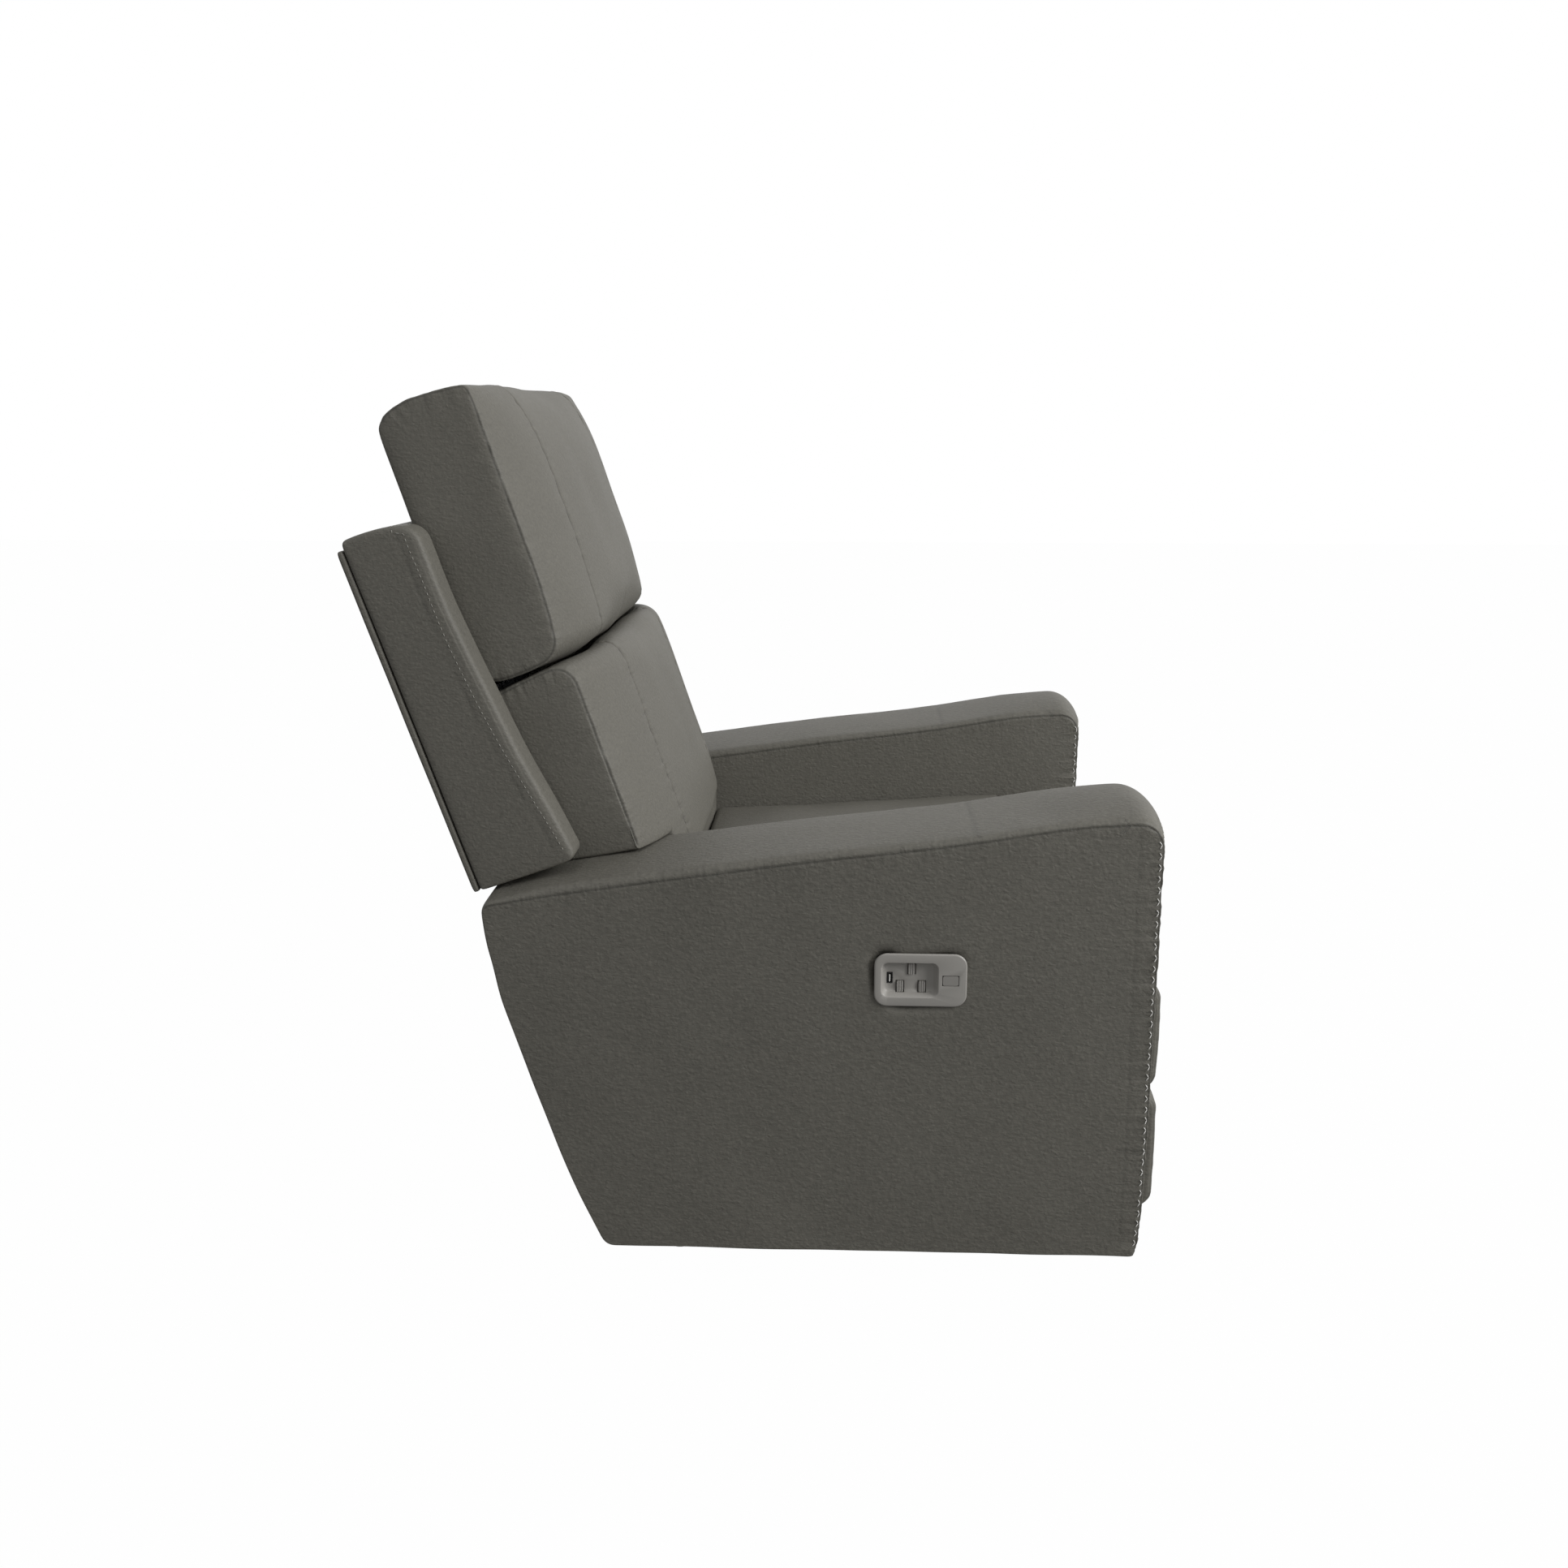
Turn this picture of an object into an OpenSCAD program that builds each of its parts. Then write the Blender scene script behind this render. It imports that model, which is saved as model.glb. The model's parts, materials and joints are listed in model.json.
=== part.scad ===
// Power recliner armchair: two fixed arms on a base, a seat carriage that slides in inclined
// guides as the back reclines, a padded back with wings, a tilting head cushion, and a
// legrest on a folding parallel linkage. +X is the sitter's left, the chair faces -Y, +Z is up,
// and the origin is on the floor under the middle of the chair.

/* [Overall] */
// Width across the two arms
chair_w = 870; // [830:5:920]
// Depth from the legrest's front to the back's rear edge
chair_d = 1036; // [1016:2:1056]
// Height of the arms' underside above the floor
underside_z = 50; // [42:1:56]

/* [Arms] */
// Width of one arm
arm_w = 183; // [172:1:190]
// Distance from the legrest's front face back to the arms' front face
arm_setback = 57; // [52:1:62]
// Height of the arm top at its front
arm_front_z = 615; // [608:1:625]
// Height of the arm top at its rear
arm_rear_z = 504; // [498:1:506]
// Distance of the arms' rear end in front of the back's rear edge
arm_rear_gap = 164; // [159:1:174]
// How far the arms' rear edge slants forward toward the floor
arm_rake = 133; // [115:1:155]
// Radius of the padded front corners
arm_front_r = 30; // [24:1:36]
// Radius of the padded rear corners
arm_rear_r = 14; // [10:1:16]
// Thickness of the padded arm cover
arm_pad_t = 12; // [8:1:14]
// Thickness of the plywood in the arm frames
ply_t = 18; // [15:1:21]
// Gap left for wadding between an arm frame and its cover
wadding_t = 8; // [8:1:10]

/* [Base] */
// Thickness of the two timber cross rails of the base
base_rail_t = 25; // [20:1:30]
// Height of the base cross rails
base_rail_h = 45; // [35:1:48]
// Radius of a foot where it meets the arm
foot_top_r = 25; // [20:1:30]
// Radius of a foot at the floor
foot_floor_r = 20; // [15:1:20]
// Distance of the feet from the arms' outer faces
foot_inset = 105; // [90:1:110]

/* [Seat] */
// Height of the seat cushion's top at its front
seat_front_z = 483; // [475:1:490]
// Height of the seat cushion's top at its rear
seat_rear_z = 456; // [450:1:465]
// Height of the seat frame's underside
seat_frame_z = 348; // [347:1:350]
// Height of the seat frame's rails
seat_rail_h = 30; // [26:1:34]
// Width of the seat frame's side rails
seat_rail_w = 42; // [36:1:46]
// Wire diameter of the seat springs
spring_wire_d = 3.8; // [3.2:0.1:4.4]
// Number of sinuous seat springs
spring_count = 4; // [3:1:5]
// Clearance between the seat cushion and each arm
seat_side_gap = 2; // [1.5:0.5:4]

/* [Back] */
// Lean of the back from vertical when upright
back_lean = 19; // [17:0.5:20]
// Height of the wings along the back
wing_h = 452; // [440:1:460]
// Thickness of each wing
wing_t = 37; // [32:1:40]
// Distance of the wings from the arms' outer faces
wing_inset = 40; // [36:1:44]
// Depth of the wings at their foot
wing_foot_depth = 139; // [132:1:142]
// Depth of the wings at their top
wing_top_depth = 103; // [98:1:106]
// Thickness of the outside back panel
back_panel_t = 9; // [7:1:10]
// Clearance between the head and lumbar cushions and each wing
cushion_gap = 4.7; // [2.7:0.5:14.7]
// Front of the cushions' side seams, from the back's rear face
cushion_front = 206; // [200:1:208]
// How far the cushions' faces bulge in front of their side seams
cushion_crown = 36; // [28:1:40]
// Height of the head cushion
head_h = 347; // [333:1:358]
// Front edge radius of the cushions
cushion_edge_r = 16; // [12:1:18]

/* [Recline] */
// Range of the back from upright
recline_angle = 30; // [20:1:30]
// Travel of the seat carriage in its guides
seat_travel = 42; // [36:1:44]
// Slope of the seat guides
guide_slope = 19; // [18:0.5:22]
// Radius of the guide rollers
roller_r = 10; // [8:0.5:12]
// Clearance between a guide roller and its slot
roller_gap = 0.4; // [0.3:0.1:0.6]

/* [Legrest linkage] */
// Length of the swinging crank links between their end pivots
crank_len = 235; // [230:1:238]
// Length of the front links between their end pivots
front_link_len = 235; // [230:1:238]
// Spacing of the paired links' pivots
pair_pitch = 55; // [52:1:60]
// Angle of the crank links below the horizontal when folded
crank_folded = 97; // [95:0.5:98]
// Slope of the front links
front_link_slope = 25; // [24:0.5:26]
// Width of a steel link
link_w = 22; // [20:1:24]
// Depth of a link's waist between its eyes
link_waist = 2; // [1:0.5:3]
// Thickness of the steel links and plates
link_t = 4; // [3:0.5:4.5]
// Radius of the link pivot pins
pin_r = 4; // [3.5:0.25:5]
// Radial clearance of a pin in its bore
pin_gap = 0.05; // [0.03:0.01:0.08]

/* [Legrest] */
// Height of the legrest's underside above the floor
legrest_z = 13; // [10:1:20]
// Height of the upper legrest pad
upper_pad_h = 157; // [150:1:160]
// Height of the lower legrest pad
lower_pad_h = 173; // [165:1:176]
// Thickness of the legrest board
legrest_board_t = 12; // [9:1:12]

/* [Control] */
// Width of the control plate
bezel_w = 112; // [105:1:120]
// Height of the control plate
bezel_h = 67; // [64:1:75]
// Corner radius of the control plate
bezel_r = 10; // [6:1:14]
// Thickness of the control plate
bezel_t = 2.5; // [2:0.5:3]
// Depth of the recess in the control plate
recess_depth = 9; // [7:1:10]
// Travel of the push buttons
button_travel = 1.5; // [1:0.1:2]
// Clearance round a push button in its hole
button_gap = 0.4; // [0.3:0.1:0.6]

/* [Hidden] */

$fn = 48;
seat_gap = 0.3;                                  // running gap between seated pieces
blend_fn = 32;                                   // facets of the blended corners

// ---- plan: half widths of what stands between the arms
outer_x = chair_w / 2;
inner_x = outer_x - arm_w;
guide_t = 5;
guide_x = inner_x - seat_gap - guide_t;
side_plate_x = guide_x - 6.7 - link_t;
link_gap = 1;
head_t = 1.5;
outer_link_x = side_plate_x - 2 * head_t - link_t;
inner_link_x = outer_link_x - link_gap - link_t;
front_y = -chair_d / 2;

// ---- arms, as a profile in Y and Z
arm_y = front_y + arm_setback;
arm_rear_y = chair_d / 2 - arm_rear_gap;
arm_base_y = arm_rear_y - arm_rake;
arm_base_len = arm_base_y - arm_y;
arm_waist_z = underside_z + 350;
arm_waist_y = arm_rear_y - 10;

// ---- back, in a frame that leans with it: z runs up the back, y = 0 is its rear face
back_z = 517;
panel_top = wing_h - 22;
back_y = chair_d / 2 - panel_top * sin(back_lean);
wing_foot = -12;
wing_x = outer_x - wing_inset;
wing_frame_t = 13;
wing_frame_x = wing_x - wing_t - seat_gap - wing_frame_t;
cushion_w = 2 * (wing_frame_x - cushion_gap);
hinge_up = -180;
hinge_in = 32;
back_half_w = inner_x - seat_side_gap - 4;
post_w = 29;
post_in = 12;
post_d = 35;
back_bracket_x = side_plate_x - 2 - link_t;
post_x = back_bracket_x - seat_gap - post_w;
rail_in = post_in + post_d + seat_gap;
back_rail_t = 20;
back_rail_h = 40;
strap_in = rail_in + back_rail_t + seat_gap;
strap_t = 2;
cushion_rear = strap_in + strap_t + seat_gap;
lumbar_foot = -235;
lumbar_step = -19;
bottom_rail_up = -212;
lumbar_rail_up = 160;
top_rail_up = wing_foot + wing_h - 55;

// ---- headrest tilt
tilt_up = top_rail_up - 63;
tilt_in = 119;
tilt_r = 122;
head_foot = tilt_up - 100;
head_top = head_foot + head_h;
head_rear = 87;
tilt_arm_x = 150;
head_pocket_d = 50;

// ---- seat
seat_top_rail_z = seat_frame_z + seat_rail_h;
seat_front_y = arm_y + 9;
seat_rear_y = back_y - 252;
side_rail_x = side_plate_x + link_t + 4 - seat_rail_w;
roller_y = [arm_y + 281, back_y - 218];
roller_z = 262;
tube_r = 12.5;

// ---- legrest linkage, in Y and Z
function polar(r, a) = [-r * cos(a), r * sin(a)];
pad_rear_y = arm_y + 9;
crank_top = [pad_rear_y + 210, 310];
pair_offset = polar(pair_pitch, front_link_slope);
follower_top = crank_top + pair_offset;
crank_vec = polar(crank_len, -crank_folded);
elbow = crank_top + crank_vec;
elbow_follower = elbow + pair_offset;
drag_offset = -crank_vec * pair_pitch / crank_len;
elbow_drag = elbow + drag_offset;
foot_pivot = elbow + polar(front_link_len, front_link_slope);
foot_drag = foot_pivot + drag_offset;
board_x = inner_link_x - head_t - 0.5;
board_rear_y = pad_rear_y + seat_gap + legrest_board_t;
pad_half_w = inner_x - 4;

// ---- control plate on the right arm's outer face
control_y = arm_y + 283;
control_z = 416.5;
recess_w = 68;
recess_h = 43;
recess_y = control_y + 13;
bezel_x = -outer_x - bezel_t;
recess_x = bezel_x + recess_depth;
cup_wall = 2;
tab_w = 8;
tab_h = 14;
home_w = 19;
home_h = 12;
button_stand = 2.5;
usb_w = 7;
usb_h = 14;
usb_y = recess_y + 24;

module mirrored() {
    children();
    mirror([1, 0, 0]) children();
}

module along_x(x, t) {
    translate([x, 0, 0]) rotate([90, 0, 90]) linear_extrude(t) children();
}

module back_place() {
    translate([0, back_y, back_z]) rotate([-back_lean, 0, 0]) mirror([0, 1, 0]) children();
}

// An outline in a plane of constant x: y and z of each corner
module plate(x, t, points) {
    along_x(x, t) polygon(points);
}

module disc(x, t, at, r) {
    translate([x, at[0], at[1]]) rotate([0, 90, 0]) cylinder(h = t, r = r);
}

// A bar with round ends between two pivots, waisted by the given amount on each side
module bar(x, t, from, to, w, waist = 0) {
    span = to - from;
    along_x(x, t) translate(from) rotate(atan2(span[1], span[0])) {
        circle(r = w / 2);
        translate([norm(span), 0]) circle(r = w / 2);
        translate([0, waist - w / 2]) square([norm(span), w - 2 * waist]);
    }
}

module bores(x, t, pivots) {
    for (at = pivots) disc(x - 1, t + 2, at, pin_r + pin_gap);
}

module link(x, from, to, extra = []) {
    difference() {
        union() {
            bar(x, link_t, from, to, link_w, link_waist);
            for (at = extra) disc(x, link_t, at, link_w / 2);
        }
        bores(x, link_t, concat([from, to], extra));
    }
}

// A headed pin from x0 to x1, with a collar that fills the space between two plates
module pin(at, x0, x1, collar_x0, collar_x1) {
    disc(x0, x1 - x0, at, pin_r);
    disc(x0 - head_t, head_t, at, pin_r + 3);
    disc(x1, head_t, at, pin_r + 3);
    if (collar_x1 - collar_x0 > 0.5) disc(collar_x0, collar_x1 - collar_x0, at, pin_r + 4);
}

// ---- base ----------------------------------------------------------------------------

// The arm's padded form, shrunk by inset, with its underside at the given height
module arm_form(inset, foot_z) {
    fr = arm_front_r - inset;
    rr = max(arm_rear_r - inset, 2);
    in = inset + rr;
    x0 = inner_x + inset;
    x1 = outer_x - inset;
    hull() {
        for (x = [x0 + fr, x1 - fr]) {
            translate([x, arm_y + arm_front_r, foot_z]) cylinder(h = 60, r = fr, $fn = blend_fn);
            translate([x, arm_y + arm_front_r, arm_front_z - arm_front_r])
                sphere(r = fr, $fn = blend_fn);
        }
        for (x = [x0 + rr, x1 - rr]) {
            translate([x, arm_rear_y - in, arm_rear_z - in]) sphere(r = rr, $fn = 20);
            translate([x, arm_waist_y - in, arm_waist_z]) sphere(r = rr, $fn = 20);
            translate([x, arm_base_y - in, foot_z]) cylinder(h = 10, r = rr, $fn = 20);
        }
    }
}

// Side profile of the plywood arm frame
function arm_frame_outline(d) = [
    [arm_y + d, underside_z + ply_t],
    [arm_y + d, arm_front_z - d - 12],
    [arm_y + d + 12, arm_front_z - d],
    [arm_rear_y - d - 6, arm_rear_z - d],
    [arm_waist_y - d, arm_waist_z],
    [arm_base_y - d, underside_z + ply_t]
];

module arm_frame() {
    d = arm_pad_t + wadding_t;
    x0 = inner_x + d;
    w = arm_w - 2 * d;
    difference() {
        union() {
            plate(x0, w, arm_frame_outline(d));
            translate([inner_x + arm_pad_t + seat_gap, arm_y + arm_front_r, underside_z])
                cube([arm_w - 2 * (arm_pad_t + seat_gap), arm_base_len - arm_front_r - 2 * d, ply_t]);
        }
        plate(x0 + ply_t, w - 2 * ply_t, arm_frame_outline(d + ply_t));
        translate([x0 + ply_t, arm_y + 160, underside_z - 1])
            cube([w - 2 * ply_t, arm_base_len - 300, 2 * ply_t + 2]);
    }
}

// Opening through the right arm's outer wall for the control housing
module control_cutout(x0, t) {
    translate([x0, control_y - bezel_w / 2 + 5, control_z - bezel_h / 2 + 5])
        cube([t, bezel_w - 10, bezel_h - 10]);
}

module arm_frame_left() {
    color("burlywood") arm_frame();
}

module arm_frame_right() {
    color("burlywood") difference() {
        mirror([1, 0, 0]) arm_frame();
        control_cutout(-outer_x - 5, 70);
    }
}

module arm_cover() {
    difference() {
        arm_form(0, underside_z);
        arm_form(arm_pad_t, underside_z - 5);
    }
}

module arm_cover_left() {
    color("dimgray") arm_cover();
}

module arm_cover_right() {
    color("dimgray") difference() {
        mirror([1, 0, 0]) arm_cover();
        control_cutout(-outer_x - 5, 20);
    }
}

module base_rail(y) {
    translate([-inner_x + seat_gap, y, underside_z])
        cube([2 * (inner_x - seat_gap), base_rail_t, base_rail_h]);
}

module base_rail_front() {
    color("burlywood") base_rail(arm_y + 40);
}

module base_rail_rear() {
    inlet = [0, arm_base_y - 40 + base_rail_t, underside_z + base_rail_h / 2];
    color("burlywood") difference() {
        base_rail(arm_base_y - 40);
        translate(inlet) rotate([90, 0, 0]) cylinder(h = 3 * base_rail_t, r = 9, center = true);
    }
}

module feet() {
    color("black") mirrored() for (y = [arm_y + 90, arm_base_y - 90])
        translate([outer_x - foot_inset, y, 0])
            cylinder(h = underside_z, r1 = foot_floor_r, r2 = foot_top_r);
}

// Steel guide with two inclined slots, fixed to the arm's inner face
module guide_plate() {
    run = seat_travel * [-cos(guide_slope), sin(guide_slope)];
    slot_w = 2 * (roller_r + roller_gap);
    difference() {
        plate(guide_x, guide_t, [
            [roller_y[0] - 80, roller_z - 22],
            [roller_y[1] + 35, roller_z - 22],
            [roller_y[1] + 35, roller_z + 22],
            [roller_y[1] - 20, roller_z + 42],
            [roller_y[0] - 80, roller_z + 42]
        ]);
        for (y = roller_y) bar(guide_x - 1, guide_t + 2, [y, roller_z], [y, roller_z] + run, slot_w);
    }
}

module guide_plates() {
    color("gray") mirrored() guide_plate();
}

// ---- control plate -------------------------------------------------------------------

module rounded_panel(w, h, r, t) {
    for (y = [-1, 1], z = [-1, 1])
        translate([0, y * (w / 2 - r), z * (h / 2 - r)]) rotate([0, 90, 0]) cylinder(h = t, r = r);
    translate([0, -w / 2 + r, -h / 2]) cube([t, w - 2 * r, h]);
    translate([0, -w / 2, -h / 2 + r]) cube([t, w, h - 2 * r]);
}

// Position and size of each push button: y, z, width, height
buttons = [
    [recess_y - 2.5, control_z + 12, tab_w, tab_h],
    [recess_y + 11.5, control_z - 10.5, tab_w, tab_h],
    [recess_y - 15, control_z - 10.5, tab_w, tab_h],
    [control_y - 36.5, control_z, home_w, home_h]
];

module control_bezel() {
    cup_w = recess_w + 2 * cup_wall;
    cup_h = recess_h + 2 * cup_wall;
    color("silver") difference() {
        union() {
            translate([bezel_x, control_y, control_z]) rounded_panel(bezel_w, bezel_h, bezel_r, bezel_t);
            translate([bezel_x, recess_y, control_z])
                rounded_panel(cup_w, cup_h, 6, recess_depth + cup_wall);
            translate([bezel_x, buttons[3][0], buttons[3][1]])
                rounded_panel(home_w + 6, home_h + 6, 4, recess_depth + cup_wall);
        }
        translate([bezel_x - 1, recess_y, control_z])
            rounded_panel(recess_w, recess_h, 6, recess_depth + 1);
        for (b = buttons) translate([bezel_x - 1, b[0], b[1]])
            rounded_panel(b[2] + 2 * button_gap, b[3] + 2 * button_gap, 2, recess_depth + cup_wall + 2);
        translate([bezel_x - 1, usb_y - usb_w / 2 - button_gap, control_z - usb_h / 2 - button_gap])
            cube([recess_depth + cup_wall + 2, usb_w + 2 * button_gap, usb_h + 2 * button_gap]);
    }
}

// Push button: a cap in the plate's hole and a wider flange behind it
module push_button(b, cap_x) {
    back_x = recess_x + cup_wall + seat_gap;
    translate([cap_x, b[0], b[1]]) rounded_panel(b[2], b[3], 2, back_x - cap_x + 1);
    translate([back_x, b[0], b[1]]) rounded_panel(b[2] + 3, b[3] + 3, 2, 2);
}

module button_upper() {
    color("gray") push_button(buttons[0], recess_x - button_stand);
}

module button_lower_left() {
    color("gray") push_button(buttons[1], recess_x - button_stand);
}

module button_lower_right() {
    color("gray") push_button(buttons[2], recess_x - button_stand);
}

module home_button() {
    color("gray") push_button(buttons[3], bezel_x - 1);
}

module usb_port() {
    depth = 14;
    wall = 1;
    color("black") {
        difference() {
            translate([recess_x - 0.6, usb_y - usb_w / 2, control_z - usb_h / 2])
                cube([depth, usb_w, usb_h]);
            translate([recess_x - 1.6, usb_y - usb_w / 2 + wall, control_z - usb_h / 2 + wall])
                cube([depth - wall + 1, usb_w - 2 * wall, usb_h - 2 * wall]);
        }
        translate([recess_x + 0.8, usb_y + usb_w / 2 - wall - 2, control_z - usb_h / 2 + 2])
            cube([depth - 2, 1.6, usb_h - 4]);
    }
}

// Electronics box behind the plate, with its walls round the buttons' flanges
module control_housing() {
    x0 = recess_x + cup_wall + seat_gap;
    w = bezel_w - 12;
    h = bezel_h - 12;
    depth = 26;
    wall = 2;
    color("black") difference() {
        translate([x0, control_y - w / 2, control_z - h / 2]) cube([depth, w, h]);
        translate([x0 - 1, control_y - w / 2 + wall, control_z - h / 2 + wall])
            cube([depth - wall + 1, w - 2 * wall, h - 2 * wall]);
    }
}

module power_inlet() {
    y1 = arm_base_y - 40 + base_rail_t;
    color("black") translate([0, y1, underside_z + base_rail_h / 2]) rotate([90, 0, 0]) difference() {
        union() {
            translate([0, 0, -2]) cylinder(h = 2, r = 13);
            cylinder(h = 20, r = 8.7);
        }
        translate([0, 0, -3]) cylinder(h = 15, r = 3.2);
    }
}

// ---- seat ----------------------------------------------------------------------------

back_hinge = [
    back_y + hinge_up * sin(back_lean) - hinge_in * cos(back_lean),
    back_z + hinge_up * cos(back_lean) + hinge_in * sin(back_lean)
];
plate_top = seat_frame_z - seat_gap;

module seat_side_plate() {
    x = side_plate_x;
    low = roller_z + 22;
    difference() {
        union() {
            plate(x, link_t, [
                [follower_top[0] - 26, plate_top], [follower_top[0] - 26, plate_top - 24],
                [crank_top[0] - 16, crank_top[1] - 18], [crank_top[0] + 20, low],
                [roller_y[1] + 30, low], [back_hinge[0] + 6, back_hinge[1] - 16],
                [back_hinge[0] + 6, back_hinge[1] + 16], [back_hinge[0] - 70, plate_top]
            ]);
            disc(x, link_t, back_hinge, 18);
            for (y = roller_y) bar(x, link_t, [y, roller_z], [y, low + 14], 32);
            disc(x, link_t, [roller_y[1] + 30, low + 16], tube_r + 8);
        }
        bores(x, link_t, [crank_top, follower_top, back_hinge]);
    }
}

module seat_side_plates() {
    color("dimgray") mirrored() seat_side_plate();
}

module guide_rollers() {
    stud_x = side_plate_x + link_t;
    color("white") mirrored() for (y = roller_y) {
        disc(stud_x, guide_x - stud_x + 0.5, [y, roller_z], 5);
        disc(guide_x + 0.4, guide_t - 0.6, [y, roller_z], roller_r);
    }
}

module seat_rail(y) {
    w = 2 * (side_rail_x - seat_gap);
    translate([-w / 2, y, seat_frame_z]) cube([w, seat_rail_w - 12, seat_rail_h]);
}

module seat_rail_front() {
    color("burlywood") seat_rail(seat_front_y + 20);
}

module seat_rail_rear() {
    color("burlywood") seat_rail(seat_rear_y - 20 - (seat_rail_w - 12));
}

module seat_side_rails() {
    color("burlywood") mirrored() translate([side_rail_x, seat_front_y + 20, seat_frame_z])
        cube([seat_rail_w, seat_rear_y - seat_front_y - 40, seat_rail_h]);
}

// A sinuous spring: straight bars across, joined by half turns, from the rear rail to the front
module seat_spring(x) {
    r = spring_wire_d / 2;
    pitch = 50;
    half_w = 12;
    y0 = seat_front_y + 22;
    z = seat_top_rail_z + r;
    turns = floor((seat_rear_y - seat_front_y - 44 - pitch) / pitch);
    translate([x, y0, z]) for (i = [0:turns]) {
        translate([-half_w, i * pitch, 0]) rotate([0, 90, 0]) cylinder(h = 2 * half_w, r = r, $fn = 16);
        if (i < turns) {
            side = i % 2 == 0 ? 1 : -1;
            translate([side * half_w, (i + 0.5) * pitch, 0]) rotate([0, 0, side > 0 ? -90 : 90])
                rotate_extrude(angle = 180, $fn = 24) translate([pitch / 2, 0]) circle(r = r, $fn = 16);
        }
    }
}

module seat_springs() {
    pitch = 2 * (side_rail_x - 30) / spring_count;
    color("silver") for (i = [0:spring_count - 1])
        seat_spring((i - (spring_count - 1) / 2) * pitch);
}

module seat_cushion() {
    z0 = seat_top_rail_z + spring_wire_d + seat_gap;
    w = 2 * (inner_x - seat_side_gap);
    r = 26;
    color("dimgray") translate([-w / 2, 0, 0]) rotate([90, 0, 90]) linear_extrude(w) hull() {
        translate([seat_front_y + r, seat_front_z - r - 2]) circle(r = r, $fn = blend_fn);
        translate([seat_front_y + 8, z0 + 8]) circle(r = 8, $fn = blend_fn);
        translate([seat_front_y + 180, seat_front_z - 20]) circle(r = 20, $fn = blend_fn);
        translate([seat_rear_y - 12, seat_rear_z - 12]) circle(r = 12, $fn = blend_fn);
        translate([seat_rear_y - 5, z0 + 5]) circle(r = 5, $fn = blend_fn);
    }
}

// Round tube between the side plates, behind the seat springs
module seat_cross_tube() {
    at = [roller_y[1] + 30, roller_z + 38];
    color("dimgray") difference() {
        disc(-side_plate_x, 2 * side_plate_x, at, tube_r);
        disc(-side_plate_x - 1, 2 * side_plate_x + 2, at, tube_r - 2);
    }
}

module legrest_pivot_pins() {
    color("silver") mirrored() for (at = [crank_top, follower_top])
        pin(at, outer_link_x - 0.1, side_plate_x + link_t + 0.1,
            outer_link_x + link_t + 0.1, side_plate_x - 0.1);
}

module back_hinge_pins() {
    color("silver") mirrored() pin(back_hinge, back_bracket_x - 0.1, side_plate_x + link_t + 0.1,
        back_bracket_x + link_t + 0.1, side_plate_x - 0.1);
}

// ---- back ----------------------------------------------------------------------------
// Inside back_place(), y runs forward from the back's rear face and z runs up the back.

module back_brackets() {
    hinge = [hinge_in, hinge_up];
    color("dimgray") back_place() mirrored() difference() {
        union() {
            disc(back_bracket_x, link_t, hinge, 20);
            plate(back_bracket_x, link_t, [
                [hinge_in - 20, hinge_up], [hinge_in + 20, hinge_up],
                [post_in + post_d, -60], [post_in, -60]
            ]);
        }
        bores(back_bracket_x, link_t, [hinge]);
    }
}

module back_posts() {
    notch = [hinge_in, hinge_up];
    color("burlywood") back_place() mirrored() difference() {
        translate([post_x, post_in, bottom_rail_up]) cube([post_w, post_d, top_rail_up + back_rail_h - bottom_rail_up]);
        disc(post_x + post_w - head_t - 1, head_t + 2, notch, pin_r + 4.5);
    }
}

module back_rail(up, half_w) {
    translate([-half_w, rail_in, up]) cube([2 * half_w, back_rail_t, back_rail_h]);
}

module back_rail_bottom() {
    color("burlywood") back_place() back_rail(bottom_rail_up, post_x + post_w);
}

module back_rail_middle() {
    color("burlywood") back_place() back_rail(0, wing_frame_x - seat_gap);
}

module back_rail_lumbar() {
    color("burlywood") back_place() back_rail(lumbar_rail_up, wing_frame_x - seat_gap);
}

module back_rail_top() {
    color("burlywood") back_place() back_rail(top_rail_up, wing_frame_x - seat_gap);
}

module back_webbing() {
    strap_w = 45;
    straps = 5;
    pitch = 2 * (post_x - 10) / straps;
    color("black") back_place() for (i = [0:straps - 1])
        translate([(i - (straps - 1) / 2) * pitch - strap_w / 2, strap_in, bottom_rail_up])
            cube([strap_w, strap_t, lumbar_rail_up + back_rail_h - bottom_rail_up]);
}

// Profile of a wing, shrunk by d, in the back's frame
function wing_outline(d) = [
    [back_panel_t + seat_gap + d, wing_foot + d],
    [wing_foot_depth - 10 - d, wing_foot + d],
    [wing_foot_depth - d, wing_foot + 12 + d],
    [wing_foot_depth - 15 - d, wing_foot + 130],
    [wing_top_depth + 2 - d, wing_foot + 300],
    [wing_top_depth - d, wing_foot + wing_h - 40],
    [wing_top_depth - 24 - d, wing_foot + wing_h - 6 - d],
    [wing_top_depth / 2, wing_foot + wing_h - d],
    [back_panel_t + 22 + d, wing_foot + wing_h - 2 - d],
    [back_panel_t + seat_gap + d, wing_foot + wing_h - 24 - d]
];

module wing_frames() {
    color("burlywood") back_place() mirrored() plate(wing_frame_x, wing_frame_t, wing_outline(6));
}

module wing() {
    back_place() plate(wing_x - wing_t, wing_t, wing_outline(0));
}

module wing_right() {
    color("dimgray") mirror([1, 0, 0]) wing();
}

module wing_left() {
    color("dimgray") wing();
}

module back_outer_panel() {
    color("dimgray") back_place() {
        translate([-wing_x, 0, wing_foot]) cube([2 * wing_x, back_panel_t, panel_top - wing_foot]);
        translate([-back_half_w, 0, bottom_rail_up - 8])
            cube([2 * back_half_w, back_panel_t, wing_foot - bottom_rail_up + 8]);
    }
}

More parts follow.
